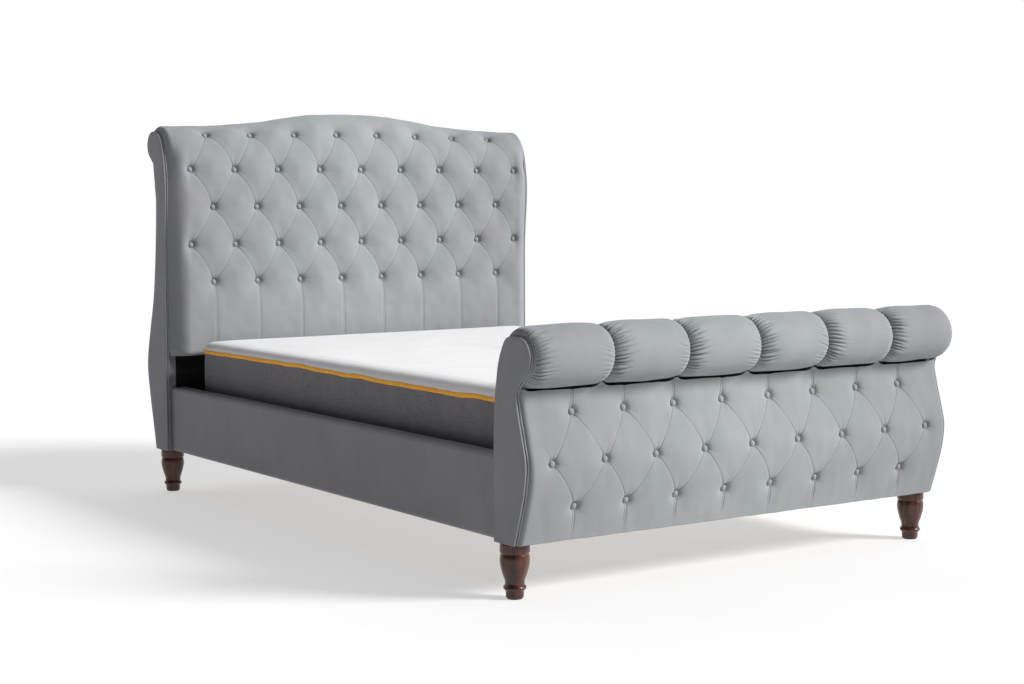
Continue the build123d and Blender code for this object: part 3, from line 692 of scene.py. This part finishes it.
def button_dimples(board, x, p):
    """Extra depth round each button: a taut cone and short creases that fan out of it."""
    depth = np.zeros(p.shape)
    for bx, row in button_places(len(board.rows)):
        above = (p - row) * row_pitch(board)
        near = (np.abs(x - bx) < DIMPLE_REACH) & (np.abs(above) < DIMPLE_REACH)
        dx, dz = (x - bx)[near], above[near]
        r = np.hypot(dx, dz)
        well = 0.45 / (1 + (r / DIMPLE_FLOOR_R) ** 6) + 0.55 * np.exp(-((r / DIMPLE_CONE_R) ** 1.4))
        pull = board.style.dimple * well
        for angle in FAN_ANGLES + rng.normal(0, 9, len(FAN_ANGLES)):
            direction = np.radians(angle)
            ahead = dx * math.cos(direction) + dz * math.sin(direction)
            aside = dz * math.cos(direction) - dx * math.sin(direction)
            reach = rng.uniform(0.010, 0.018)
            fold = np.exp(-np.maximum(ahead - 0.010, 0.0) / reach) * (ahead > 0)
            pull += FAN_DEPTH * fold * np.exp(-((aside / (0.0016 + 0.05 * np.abs(ahead))) ** 2))
        depth[near] += pull
    return depth


def button_object(name, centres, outs, replaced):
    """Domed fabric buttons: centres on the dimple floor, outs the directions they face."""
    turns = np.radians(np.arange(0, 360, 15))
    verts, faces = [], []
    for centre, out in zip(centres, outs):
        out = unit(out + rng.normal(0, 0.06, 3))
        side = unit(np.cross(out, (0.0, 0.2, 1.0)))
        up = np.cross(side, out)
        size = rng.uniform(0.97, 1.04)
        first = len(verts)
        for radius, height in BUTTON_DOME:
            for turn in turns:
                ring = side * math.cos(turn) + up * math.sin(turn)
                verts.append(centre + (ring * radius * size + out * height) * MM)
        quads = grid_faces(len(BUTTON_DOME), len(turns), wrap_cols=True)
        quads.append(list(range((len(BUTTON_DOME) - 1) * len(turns), len(BUTTON_DOME) * len(turns))))
        faces += [[first + i for i in face] for face in quads]
    declare_padded(new_object(name, verts, faces, "velvet", "bed_frame", 60.0), [replaced])


def buttoned_board(board, x, p, main, edge, rolled):
    """Pad and buttons of a board from (v, z) rows: main across its middle, edge at both sides.

    p is each grid point's lattice row, and rolled how far it has gone from main to edge.
    """
    style = board.style
    rise = p * row_pitch(board)
    depth = tufted_depth(board, x[None, :], p)
    depth += button_dimples(board, np.broadcast_to(x[None, :], p.shape), p)
    sag = Ripple(0.16)(x[None, :], rise) + 0.5 * Ripple(0.05)(x[None, :], rise)
    depth += style.sag * (1 + sag)
    # The pleats bow a little to the upper right where the cloth is pulled over the filling.
    u = x[None, :] / HALF_PITCH
    inside = (p > 0) & (p < len(board.rows) - 1) & (np.abs(u) < LAST_COLUMN)
    bow = np.cos(math.pi * (u + p - 1) / 2) ** 2 * np.sin(math.pi * (u - p - 1) / 2) ** 2 * inside
    inward = -normals(main)
    surface = main + inward * (depth * (1 - rolled))[..., None]
    surface = surface + (edge - surface) * rolled[..., None]
    across = x[None, :] + style.bow * bow
    points = in_row_frame(across, surface, board.station)
    pad = new_object(f"{board.name}_pad", points, board_faces(x / HALF_PITCH, p), "velvet", "bed_frame")
    declare_padded(pad, board.pads)
    centres, outs = [], []
    for bx, row in button_places(len(board.rows)):
        j = int(np.argmin(np.abs(x - bx)))
        i = int(np.argmin(np.abs(p[:, j] - row)))
        out = np.array((0.0, *-inward[i, j]))
        centres.append(points[i, j] + out * style.proud)
        outs.append(out)
    button_object(f"{board.name}_button_set", centres, outs, f"{board.name}_buttons")


def crest(x):
    """Height of the camel-back top at x."""
    return CREST_SHOULDER + CREST_RISE / (1 + (np.abs(x) / CREST_REACH) ** 3.2)


OVER_ROWS = 33  # grid rows over the crest and down its back
BACK_ROWS = 25


def head_middle(z, top):
    """The headboard pad's (v, z) rows up its face, over the crest and down behind it."""
    depth, rise = HEAD_PROUD + CREST_V, top - CREST_BASE
    sine = np.clip((z[:, None] - CREST_BASE) / rise, 0.0, 1.0)
    # A quarter ellipse as deep as the board, after the flat face.
    front_v = depth * (1 - np.sqrt(1 - sine**2)) - HEAD_PROUD
    front = np.stack([front_v, np.broadcast_to(z[:, None], sine.shape)], -1)
    started = np.arcsin(sine[-1])
    share = np.linspace(0, 1, OVER_ROWS + 1)[1:, None]
    angle = started + (math.pi / 2 - started) * share
    over = np.stack([depth * (1 - np.cos(angle)) - HEAD_PROUD, CREST_BASE + rise * np.sin(angle)], -1)
    back = spline(CREST_BACK, BACK_ROWS + 1, (1, 0), (-1, -0.6))[1:]
    back = np.stack([np.broadcast_to(back[:, :1], (BACK_ROWS, len(top))), back[:, 1:] + top], -1)
    return front, over, back


def arc_lengths(points, start):
    return np.cumsum(np.linalg.norm(np.diff(points, axis=0, prepend=start), axis=1))


def head_edge(z, front, over):
    """The same rows down the outline of the side panels, where the pad meets the piping."""
    outline = spline(HEAD_FRONT + [HEAD_TOP], 900, (0, 1), (1, 0))
    forward = smooth(outline[:, 1], CREST_BASE, CREST_BASE + 0.05)
    outline += np.column_stack([0.007 * forward - 0.003, -0.003 * forward])
    low = np.column_stack([np.interp(z, outline[:, 1], outline[:, 0]), z])[z <= CREST_BASE]
    climb = np.concatenate([front[z > CREST_BASE, -1], over[:, -1]])
    length = arc_lengths(climb, front[z <= CREST_BASE, -1][-1:])
    upper = outline[outline[:, 1] > CREST_BASE]
    upper_length = arc_lengths(upper, upper[:1])
    share = length / length[-1] * upper_length[-1]
    high = np.column_stack([np.interp(share, upper_length, column) for column in upper.T])
    back = arc(HEAD_SCROLL, HEAD_SCROLL_R - 0.003, 90, HEAD_NECK, BACK_ROWS + 1)[1:]
    return np.concatenate([low, high, back])


def headboard_pad():
    x = board_columns(HEAD_CELLS)
    corner = 0.014
    low = (PAD_BASE + corner - HEAD_ROWS[0]) / row_pitch(HEADBOARD)
    last = len(HEAD_ROWS) - 1.0
    p_front = lattice_rows(low, last, last, HEAD_CELLS, 13)
    z = row_height(HEADBOARD, p_front)
    front, over, back = head_middle(z, crest(x))

    # Its rounded lower corner, from the board forwards.
    tuck = [(0.0, PAD_BASE), (-HEAD_PROUD / 2, PAD_BASE), (corner - HEAD_PROUD, PAD_BASE)]
    bend = arc((corner - HEAD_PROUD, PAD_BASE + corner), corner, 270, 180, 8)[1:-1]
    tuck = np.vstack([resample(np.array(tuck), 5), bend])
    main = np.concatenate([np.repeat(tuck[:, None], len(x), axis=1), front, over, back])
    edge_tuck = np.column_stack([np.maximum(tuck[:, 0], 0.004), tuck[:, 1]])
    edge = np.concatenate([edge_tuck, head_edge(z, front, over)])[:, None]

    p_over = last + np.linspace(0, 1.3, OVER_ROWS + 1)[1:]
    p_back = p_over[-1] + np.linspace(0, 1.5, BACK_ROWS + 1)[1:]
    p = np.concatenate([np.full(len(tuck), low - 0.1), p_front, p_over, p_back])
    p = np.broadcast_to(p[:, None], main.shape[:2])
    # The face falls away gently towards the side panels; the crest keeps its full height to a
    # tight corner.
    crested = smooth(p, 3.1, 4.2)
    rolled = (1 - crested) * side_roll(x, 0.062) ** 1.9 + crested * round_corner(side_roll(x, 0.017))
    buttoned_board(HEADBOARD, x, p, main, edge, rolled)


def cushion_drop(number, from_left):
    """How far a roll cushion's skin falls short of its full radius, from_left metres along it."""
    left = (from_left, 0.034, 0.030) if number == 1 else (from_left, 0.038, 0.0345)
    right = (CUSHION_L - from_left, 0.034, 0.030 if number == CUSHIONS else 0.025)
    drop = 0.0
    for distance, roll, deep in (left, right):
        inward = np.clip(1 - distance / roll, 0, 1)
        drop = drop + deep * (1 - (1 - inward**2.5) ** 0.4)
    return drop


def footboard_pad():
    x = board_columns(FOOT_CELLS)
    pitch = row_pitch(FOOTBOARD)
    corner = 0.006
    base, top = LEG_H + corner, FOOT_PAD_TOP
    last = len(FOOT_ROWS) - 1.0
    low, high = (base - FOOT_ROWS[0]) / pitch, last + (top - FOOT_ROWS[-1]) / pitch
    slot = last + (SLOT_Z - FOOT_ROWS[-1]) / pitch
    p_front = lattice_rows(low, last, slot, FOOT_CELLS, 22)
    p_front = np.concatenate([p_front, np.linspace(slot, high, 22)[1:]])
    z = row_height(FOOTBOARD, p_front)
    face = spline(FOOT_FACE + [(-66, 570), (-76, 590)], 900)
    # Its top edge follows the undersides of the roll cushions, with a point below each seam.
    number = np.clip((x + COVER_X) // CUSHION_L + 1, 1, CUSHIONS)
    from_left = x + COVER_X - (number - 1) * CUSHION_L
    lift = [min(cushion_drop(n, along), SEAM_POINT) for n, along in zip(number, from_left)]
    z_face = z[:, None] + np.array(lift)[None, :] * smooth(z, 0.515, SLOT_Z)[:, None]
    v = np.interp(z_face, face[:, 1], face[:, 0])
    tucked = smooth(z, SLOT_Z, SLOT_Z + 0.0022)[:, None]
    front = np.stack([v - FOOT_PROUD + SLOT_DEPTH * tucked, z_face - SLOT_DIP * tucked], -1)
    start = front[0, 0, 0]
    tuck = np.vstack([[(0.0, LEG_H)], arc((start + corner, base), corner, 270, 180, 8)[:-1]])
    close = np.array([(front[-1, 0, 0] + 0.012, top + 0.004), (0.0, top)])
    columns = (1, len(x), 1)
    main = np.concatenate([np.tile(tuck[:, None], columns), front, np.tile(close[:, None], columns)])
    v_edge = np.interp(z, face[:, 1], face[:, 0])
    edge = np.vstack([tuck + (0.012, 0), np.column_stack([v_edge + 0.004, z]), close])[:, None]

    p = np.concatenate([np.full(len(tuck), low), p_front, np.full(len(close), high)])
    p = np.broadcast_to(p[:, None], main.shape[:2])
    rolled = np.broadcast_to(round_corner(side_roll(x, 0.014)), p.shape)
    buttoned_board(FOOTBOARD, x, p, main, edge, rolled)


# -------- roll cushions
def gathers(number, along, angles):
    """Depth of the gathers: sharp valleys that fan out of the seams, mostly the left one."""
    left_scale = 0.6 if number == 1 else 1.0
    depth = np.zeros((len(angles), len(along)))
    swirl = rng.uniform(-350, 350)  # degrees of lean for each metre along the cushion
    for distance, scale in ((along, left_scale), (CUSHION_L - along, 0.25)):
        centre = angles[0] - rng.uniform(0, 6)
        near = distance < CUSHION_L / 2
        while centre < angles[-1]:
            reach = rng.uniform(0.012, 0.030)
            lean = swirl + rng.uniform(-60, 60) + 0.8 * (centre - 150)
            size = scale * rng.uniform(0.0075, 0.0140)
            width = rng.uniform(1.3, 2.3)
            off = angles[:, None] - centre - lean * np.minimum(distance, 0.06)[None, :]
            fade = np.exp(-((np.maximum(distance - 0.018, 0) / reach) ** 2))
            spread = width * (0.8 + 10 * distance[None, :])
            valley = np.exp(-np.abs(off / spread) ** 1.3)
            depth += size * (fade * smooth(distance, -0.002, 0.008)) * near * valley
            centre += rng.uniform(5.8, 10.0)
    return depth


def roll_cushion(number):
    """One gathered bolster wrapped over the footboard's scroll."""
    end = CUSHION_END * (1 - np.cos(np.linspace(0, math.pi / 2, 26)))
    along = np.concatenate([end, np.linspace(CUSHION_END, CUSHION_L / 2, 24)[1:]])
    along = np.concatenate([along, CUSHION_L - along[-2::-1]])
    low, high = -COVER_X + (number - 1) * CUSHION_L, -COVER_X + number * CUSHION_L
    x = np.interp(along, (0, CUSHION_L), (max(low, -PAD_X), min(high, PAD_X)))
    angles = np.linspace(*CUSHION_SPAN, 420)
    around = np.radians(angles)[:, None]
    drop = cushion_drop(number, along) + 0.0022 * (1 - np.sin(np.pi * along / CUSHION_L))
    pleats = gathers(number, along, angles)
    soft = Ripple(0.13)(x[None, :], around * 0.08) * 0.0012
    radius_v = CUSHION_RADII[0] - drop - pleats + soft
    radius_z = CUSHION_RADII[1] - 0.9 * drop - pleats + soft
    centre_v = CUSHION_CENTRE[0] + 0.1 * drop
    z = CUSHION_CENTRE[1] + radius_z * np.sin(around)
    skin = np.stack([centre_v + radius_v * np.cos(around), z], -1)
    core = arc(FOOT_SCROLL, FOOT_SCROLL_R - 0.0085, 262.0, 42.0, 24)
    core = np.repeat(core[:, None], len(x), axis=1)
    points = in_row_frame(x[None, :], np.concatenate([skin, core]), FOOT_Y)
    replaced = [f"roll_cushion_{number}"]
    pad_object(f"roll_cushion_{number}_cover", points, replaced, fill=0.85, wrap_rows=True, split=len(skin))


# -------- side panels
def side_panel(name, front, back, station, side, replaced, faced):
    """Padded shaped side panel between its front and back outlines.

    Its front edge is a rounded strip with a crevice beside it for the cord; faced is true
    where the front is covered level with the strip on the inner side of the cord too.
    """
    turn = np.radians(np.linspace(0, 90, 6))
    rounded = EDGE_ROUND * (1 - np.cos(turn))
    rounded_x = CHEEK_X - EDGE_ROUND * (1 - np.sin(turn))
    onto_side = EDGE_ROUND + 0.004 * np.arange(1, 4)
    inset = np.concatenate([[CREVICE, CREVICE, 0.0012], rounded, onto_side])
    x = np.concatenate([[BOARD_X, STRIP_X, STRIP_X + 0.0006], rounded_x, np.full(3, CHEEK_X)])
    if faced:
        step = CORD_X - CORD_R
        inset = np.concatenate([[0.0, 0.0], inset])
        x = np.concatenate([[BOARD_X, step - 0.0002, step + 0.0002], x[1:]])
    back_inset = np.concatenate([[0.0], rounded, onto_side])
    back_x = np.concatenate([[BOARD_X], rounded_x, np.full(3, CHEEK_X)])

    width = np.maximum(np.linalg.norm(back - front, axis=1)[:, None], 1e-4)
    # Where the panel narrows, the two edges share its width and never cross.
    near = np.minimum(inset / width, 0.5 - 0.03 * np.linspace(1, 0, len(inset)))
    far = np.minimum(back_inset / width, 0.5 - 0.03 * np.linspace(1, 0, len(back_inset)))
    inner = np.linspace(0, 1, 14)[1:-1]
    between = near[:, -1:] + (1 - near[:, -1:] - far[:, -1:]) * inner
    share = np.hstack([near, between, 1 - far[:, ::-1]])
    height = np.concatenate([x, np.full(len(inner), CHEEK_X), back_x[::-1]])
    curve = front[:, None] + (back - front)[:, None] * share[..., None]
    soft = Ripple(0.22)(curve[..., 0], curve[..., 1]) * 0.0008
    crown = np.clip(np.minimum(share, 1 - share) * width / 0.03, 0, 1)
    sink = PANEL_SINK * (1 - crown) * (height[None, :] > CHEEK_X - 0.001)
    x = side * (height[None, :] - sink + soft * crown)
    points = in_row_frame(x, curve, station)
    # The side panels take the velvet copy darkened with painted shade.
    pad_object(name, points, replaced, "velvet_painted_shade", fill=0.9, wrap_cols=True, cap_rows=True)


def foot_outline(inset):
    """Front of the footboard's side panel, from the floor end up and round its scroll."""
    neck = math.radians(FOOT_NECK)
    radius = FOOT_SCROLL_R - inset
    meet = FOOT_SCROLL + radius * np.array((math.cos(neck), math.sin(neck)))
    points = [(v + inset / MM, z) for v, z in FOOT_FACE] + [tuple(meet / MM)]
    swept = spline(points, 220, (-0.35, 1), (math.sin(neck), -math.cos(neck)))
    return resample(np.vstack([swept, arc(FOOT_SCROLL, radius, FOOT_NECK, 90, 120)[1:]]), 200)


def foot_cheeks():
    front = foot_outline(FOOT_STRIP_V)
    top = tuple((FOOT_SCROLL + (0, FOOT_SCROLL_R - FOOT_STRIP_V)) / MM)
    inner = spline(FOOT_INNER + [top], 200, (0, 1), (-1, 0))
    back = resample(np.vstack([[(0.045, LEG_H)], inner]), 200)
    front[:, 1] = np.maximum(front[:, 1], LEG_H)
    for hand, side in HANDS:
        replaced = [f"footboard_cheek_cover_{hand}"]
        side_panel(f"footboard_side_{hand}", front, back, FOOT_Y, side, replaced, False)


def head_outline(ahead, top):
    """Front of the headboard's side panel, moved ahead by a few millimetres, up to its top."""
    return spline([(v - ahead, z) for v, z in HEAD_FRONT] + [top], 260, (0, 1), (1, 0))


def head_cheeks():
    front = head_outline(-HEAD_STRIP_V / MM, HEAD_TOP)
    neck = math.radians(HEAD_NECK)
    meet = HEAD_SCROLL + HEAD_SCROLL_R * np.array((math.cos(neck), math.sin(neck)))
    swept = spline(HEAD_BACK + [tuple(meet / MM)], 400, (0.2, 1), (-math.sin(neck), math.cos(neck)))
    back = np.vstack([swept, arc(HEAD_SCROLL, HEAD_SCROLL_R, HEAD_NECK, 90, 80)[1:]])
    back = resample(back, 260)
    for hand, side in HANDS:
        replaced = [f"headboard_cheek_cover_{hand}"]
        side_panel(f"headboard_side_{hand}", front, back, HEAD_Y, side, replaced, True)


def piping(name, outline, station, side, replaced):
    """Covered cord stitched along the front of a side panel."""
    path = in_row_frame(side * CORD_X, outline, station)
    wobble = Ripple(0.12)(np.arange(len(path)) * 0.006, 0.0)
    path[:, 0] += side * 0.0005 * wobble
    cord = tube(path, CORD_R + 0.0002 * wobble)
    pad_object(name, cord, [replaced], fill=1.0, wrap_cols=True, cap_rows=True)


def all_piping():
    foot = foot_outline(CORD_R)
    foot = foot[foot[:, 1] > LEG_H + 0.001]
    head = head_outline(1.0, (HEAD_TOP[0], HEAD_TOP[1] - 1))
    for hand, side in HANDS:
        piping(f"footboard_cord_{hand}", foot, FOOT_Y, side, f"footboard_piping_{hand}")
        piping(f"headboard_cord_{hand}", head, HEAD_Y, side, f"headboard_piping_{hand}")


# -------- plain upholstered panels
def panel(name, outer, thickness, station, replaced):
    """Soft covered panel: outer is its visible (v, z) profile, thickness is towards the frame."""
    ends = COVER_X * np.cos(np.linspace(0, 0.15, 5))
    x = np.concatenate([-ends, np.linspace(-0.985, 0.985, 120) * COVER_X, ends[::-1]])
    x = np.unique(np.round(x, 6))
    edge = np.clip((COVER_X - np.abs(x)) / 0.008, 0, 1)
    fall = 0.006 * round_corner(1 - edge)
    soft = 0.0012 * Ripple(0.30)(x[None, :], outer[:, 1][:, None])
    inward = -normals(outer)
    if thickness < 0:
        inward = -inward
    share = np.linspace(0, 1, len(outer))
    roll = 0.004 * (np.exp(-share * 90) + np.exp(-(1 - share) * 90))
    shown = outer[:, None] + inward[:, None] * (fall[None, :] + roll[:, None] + soft + 0.0012)[..., None]
    hidden = outer + inward * abs(thickness)
    hidden = np.repeat(hidden[::-1][:, None], len(x), axis=1)
    points = in_row_frame(x[None, :], np.concatenate([shown, hidden]), station)
    pad_object(name, points, replaced, fill=0.5, wrap_rows=True, split=len(shown))


def plain_panels():
    swept = spline(FOOT_INNER, 120, (0, 1), (-0.6, 1))
    inner = resample(np.vstack([[(0.045, LEG_H)], swept]), 160)
    panel("footboard_inner_cover", inner, -0.012, FOOT_Y, ["footboard_inner_pad"])
    back = spline(HEAD_BACK + BACK_TOP, 260, (0.2, 1), (0.1, 1))
    panel("headboard_back_cover", back, -0.008, HEAD_Y, ["headboard_back_panel"])


def rail_cover(hand, side):
    """Velvet pulled round a side rail, its long outer edges softly rounded."""
    corner = 0.012
    low, high = RAIL_Z
    inner, outer = RAIL_X
    turn = 12
    section = np.vstack([
        [(inner, low)],
        arc((outer - corner, low + corner), corner, 270, 360, turn),
        np.column_stack([np.full(26, outer), np.linspace(low + corner, high - corner, 28)[1:-1]]),
        arc((outer - corner, high - corner), corner, 0, 90, turn),
        arc((inner + 0.006, high - 0.006), 0.006, 90, 180, 6),
    ])
    y = np.linspace(RAIL_Y[0], RAIL_Y[1], 240)
    soft = Ripple(0.35)(section[:, 1][:, None] * 1.4, y[None, :])
    outward = smooth(section[:, 0], outer - 0.010, outer)[:, None]
    x = section[:, 0][:, None] + (0.0010 * soft - 0.0012) * outward
    z = section[:, 1][:, None] + 0.0007 * soft * (1 - outward) * (section[:, 1] > high - 0.003)[:, None]
    points = np.stack(np.broadcast_arrays(side * x, y[None, :], z), axis=-1)
    replaced = [f"side_rail_cover_{hand}"]
    name = f"side_rail_wrap_{hand}"
    # The rail takes the velvet copy darkened with painted shade.
    pad_object(name, points, replaced, "velvet_painted_shade", fill=0.9, wrap_rows=True, cap_cols=True)


def lining():
    """Black cloth stretched over the headboard's front board below the pad."""
    low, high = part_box("headboard_lining")
    x = np.linspace(low[0], high[0], 90)
    z = np.linspace(low[2], high[2] + 0.004, 24)
    y = low[1] + 0.0006 + 0.0004 * Ripple(0.2)(x[None, :], z[:, None])
    points = np.stack(np.broadcast_arrays(x[None, :], y, z[:, None]), axis=-1)
    made = grid_object("headboard_lining_cloth", points, "black_lining")
    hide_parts("headboard_lining")


# -------- mattress
MATTRESS_CENTRE_Y = sum(MATTRESS_Y) / 2
MATTRESS_HALF_Y = (MATTRESS_Y[1] - MATTRESS_Y[0]) / 2
MATTRESS_CORNER = 0.025
SEAM_Z = (0.330, 0.508)
PIPING_R = 0.0078
RIB_HEIGHT = 0.0011
RIB_PITCH = 0.052
FLAT_AT = 0.63  # inset at which the ribs fade out, close to the middle of the bed


def mattress_ring(inset, z):
    """Closed level loop round the mattress, inset from its border."""
    half_x, half_y = MATTRESS_X - inset, MATTRESS_HALF_Y - inset
    corner = max(MATTRESS_CORNER - inset, 0.002)
    near_x, near_y = half_x - corner, half_y - corner
    corners = [(near_x, near_y), (-near_x, near_y), (-near_x, -near_y), (near_x, -near_y)]
    parts = []
    for k, (centre, count) in enumerate(zip(corners, (110, 150, 110, 150))):
        turn = arc(centre, corner, 90 * k, 90 * k + 90, 12)
        follow = arc(corners[(k + 1) % 4], corner, 90 * k + 90, 90 * k + 90, 1)
        parts += [turn, np.linspace(turn[-1], follow[0], count)[1:-1]]
    loop = np.vstack(parts)
    return np.column_stack([loop[:, 0], loop[:, 1] + MATTRESS_CENTRE_Y, np.full(len(loop), z)])


def seam_wave():
    """How the seams wander up and down round the mattress, for each point of a ring."""
    ring = mattress_ring(0.0, 0.0)
    waves = 0.0026 * Ripple(0.30)(ring[:, 0], ring[:, 1]) + 0.0014 * Ripple(0.13)(ring[:, 0], ring[:, 1])
    return waves - 0.006 * smooth(-ring[:, 1], -0.2, MATTRESS_HALF_Y)


# (inset in metres, share of the rise) from the seam inwards.
LID_PROFILE = [(0.006, 0.0), (0.0015, 0.06), (0.0, 0.16), (0.0015, 0.34), (0.008, 0.62), (0.022, 0.84)]
LID_PROFILE += [(0.045, 0.955), (0.09, 0.99)]
LID_PROFILE += [(inset, 1.0) for inset in (0.16, 0.26, 0.38, 0.50, 0.60, 0.665)]


def mattress_lid(side, seam, rise, wave, ribs):
    """Domed knitted panel inside a seam; rise is up for the top and down for the base."""
    profile = spline([(inset / MM, share * 100) for inset, share in LID_PROFILE], 70) * (1.0, 10.0)
    rings = []
    for inset, height in profile:
        ring = mattress_ring(max(inset, 0.0), seam + rise * height)
        ring[:, 2] += wave * math.exp(-max(inset, 0.0) / 0.02)
        hump = smooth(inset, 0.02, 0.07) * (1 - smooth(inset, FLAT_AT, FLAT_AT + 0.03))
        ring[:, 2] += ribs * hump * np.sin(2 * math.pi * ring[:, 1] / RIB_PITCH)
        rings.append(ring)
    points = np.array(rings)
    soft = Ripple(0.45)(points[..., 0], points[..., 1]) * 0.0014
    points[..., 2] += soft * smooth(profile[:, 0], 0.02, 0.1)[:, None] - 0.0014 * (rise > 0)
    name, replaced = f"mattress_{side}_cover", [f"mattress_{side}_panel"]
    pad_object(name, points, replaced, "mattress_knit", "mattress", 0.8, wrap_cols=True, halved=True)


def mattress_border(wave):
    """Side wall of the mattress between its two piped seams, with a slight bulge."""
    rings = []
    span = SEAM_Z[1] - SEAM_Z[0]
    for share in np.linspace(0, 1, 30):
        bulge = 0.0045 * (1 - (4 * share * (1 - share)) ** 0.45)
        ring = mattress_ring(0.0005 + bulge, SEAM_Z[0] + span * share)
        ring[:, 2] += wave * share
        rings.append(ring)
    points = np.array(rings)
    soft = 0.0007 * Ripple(0.09)(points[..., 0] + points[..., 1], points[..., 2] * 0.25)
    points[..., 0] += soft * np.sign(points[..., 0]) * (np.abs(points[..., 0]) > MATTRESS_X - 0.03)
    inner = np.array([mattress_ring(0.02, z) for z in SEAM_Z[::-1]])
    points = np.concatenate([points, inner])
    closing = {"wrap_rows": True, "wrap_cols": True}
    pad_object("mattress_side_wall", points, ["mattress_border"], "mattress_border", "mattress", **closing)


def mattress_cords(wave):
    """Orange piping over both seams."""
    loops = []
    for z, lift in ((SEAM_Z[1], wave), (SEAM_Z[0], 0.0)):
        path = mattress_ring(0.0042, z)
        path[:, 2] += lift
        path = resample(np.vstack([path, path[:1]]), 700)[:-1]
        squeeze = PIPING_R * (1 + 0.05 * Ripple(0.05)(path[:, 0], path[:, 1]))
        loops.append(tube(path, squeeze, 14, closed=True))
    rows, cols = loops[0].shape[:2]
    faces = grid_faces(rows, cols, wrap_rows=True, wrap_cols=True)
    faces += [[i + rows * cols for i in face] for face in faces]
    made = new_object("mattress_cords", np.concatenate(loops), faces, "mattress_piping", "mattress")
    declare_padded(made, ["mattress_piping"])


def build_mattress():
    wave = seam_wave()
    (base, top), (low_seam, high_seam) = MATTRESS_Z, SEAM_Z
    mattress_lid("top", high_seam, top - high_seam, wave, RIB_HEIGHT)
    mattress_lid("base", low_seam, base - low_seam, 0.0, 0.0)
    mattress_border(wave)
    mattress_cords(wave)


# -------- studio
KEY_FROM = (0.59, -0.61, 0.51)
KEY_ENERGY = 4.9
KEY_SOFTNESS = 19.0
FLOOR_GLOW = 0.50
FLOOR_REACH = 30.0
ROOM_BRIGHT_SIDE = (0.62, 0.75, 0.22)
ROOM_DARK = (0.05, 0.046, 0.060, 1.0)
ROOM_FULL_AT = 0.72  # how squarely a direction faces the bright side where the room turns white
CAMERA_PLACE = (-3.46765, -5.03431, 1.07057)
CAMERA_LENS = 65.39
CAMERA_PITCH, CAMERA_ROLL, CAMERA_YAW = (math.radians(turn) for turn in (-4.681, -0.114, -34.449))


def build_floor():
    """Pale seamless floor, faintly lit from below as a product studio's is."""
    corners = [(x, y, 0.0) for x in (-FLOOR_REACH, FLOOR_REACH) for y in (-FLOOR_REACH, FLOOR_REACH)]
    mesh = bpy.data.meshes.new("studio_floor")
    mesh.from_pydata(corners, [], [(0, 2, 3, 1)])
    paint = Shader("studio_floor", Roughness=0.9, Specular_IOR_Level=0.1)
    paint.colour(paint.ramp(paint.noise(2.0), [(0.3, grey(0.42)), (0.7, grey(0.44))]))
    paint.surface.inputs["Emission Color"].default_value = WHITE
    paint.surface.inputs["Emission Strength"].default_value = FLOOR_GLOW
    mesh.materials.append(paint.material)
    floor = bpy.data.objects.new("studio_floor", mesh)
    bpy.context.scene.collection.objects.link(floor)


def build_light():
    """A large soft key from the front right, and a dim room with a white backdrop behind the bed."""
    world = bpy.data.worlds.new("studio")
    bpy.context.scene.world = world
    world.use_nodes = True
    tree = world.node_tree
    place = add_node(tree, "TexCoord", "Generated")
    aim = tree.nodes.new("ShaderNodeVectorMath")
    aim.operation = "DOT_PRODUCT"
    aim.inputs[1].default_value = ROOM_BRIGHT_SIDE
    tree.links.new(place, aim.inputs[0])
    room = add_node(tree, "ValToRGB", "Color", Fac=aim.outputs["Value"])
    dark, bright = room.node.color_ramp.elements
    dark.position, dark.color = 0.0, ROOM_DARK
    bright.position, bright.color = ROOM_FULL_AT, WHITE
    seen = add_node(tree, "LightPath", "Is Camera Ray")
    tree.links.new(add_mix(tree, room, WHITE, seen), tree.nodes["Background"].inputs["Color"])

    data = bpy.data.lights.new("key_light", "SUN")
    data.energy = KEY_ENERGY
    data.angle = math.radians(KEY_SOFTNESS)
    lamp = bpy.data.objects.new("key_light", data)
    lamp.rotation_euler = Vector(KEY_FROM).to_track_quat("Z", "Y").to_euler()
    bpy.context.scene.collection.objects.link(lamp)
    bpy.context.scene.view_settings.view_transform = "Standard"


def build_camera():
    data = bpy.data.cameras.new("camera")
    data.sensor_width = 36.0
    data.lens = CAMERA_LENS
    camera = bpy.data.objects.new("camera", data)
    camera.location = CAMERA_PLACE
    look = Euler((math.pi / 2 + CAMERA_PITCH, 0.0, CAMERA_YAW), "XYZ").to_matrix()
    roll = Euler((0.0, 0.0, CAMERA_ROLL), "XYZ").to_matrix()
    camera.rotation_euler = (look @ roll).to_euler()
    bpy.context.scene.collection.objects.link(camera)
    bpy.context.scene.camera = camera


build_camera()
build_light()
build_floor()
finish_cad_nodes()
headboard_pad()
footboard_pad()
for cushion in range(1, CUSHIONS + 1):
    roll_cushion(cushion)
foot_cheeks()
head_cheeks()
all_piping()
plain_panels()
for rail_hand, rail_side in HANDS:
    rail_cover(rail_hand, rail_side)
lining()
build_mattress()
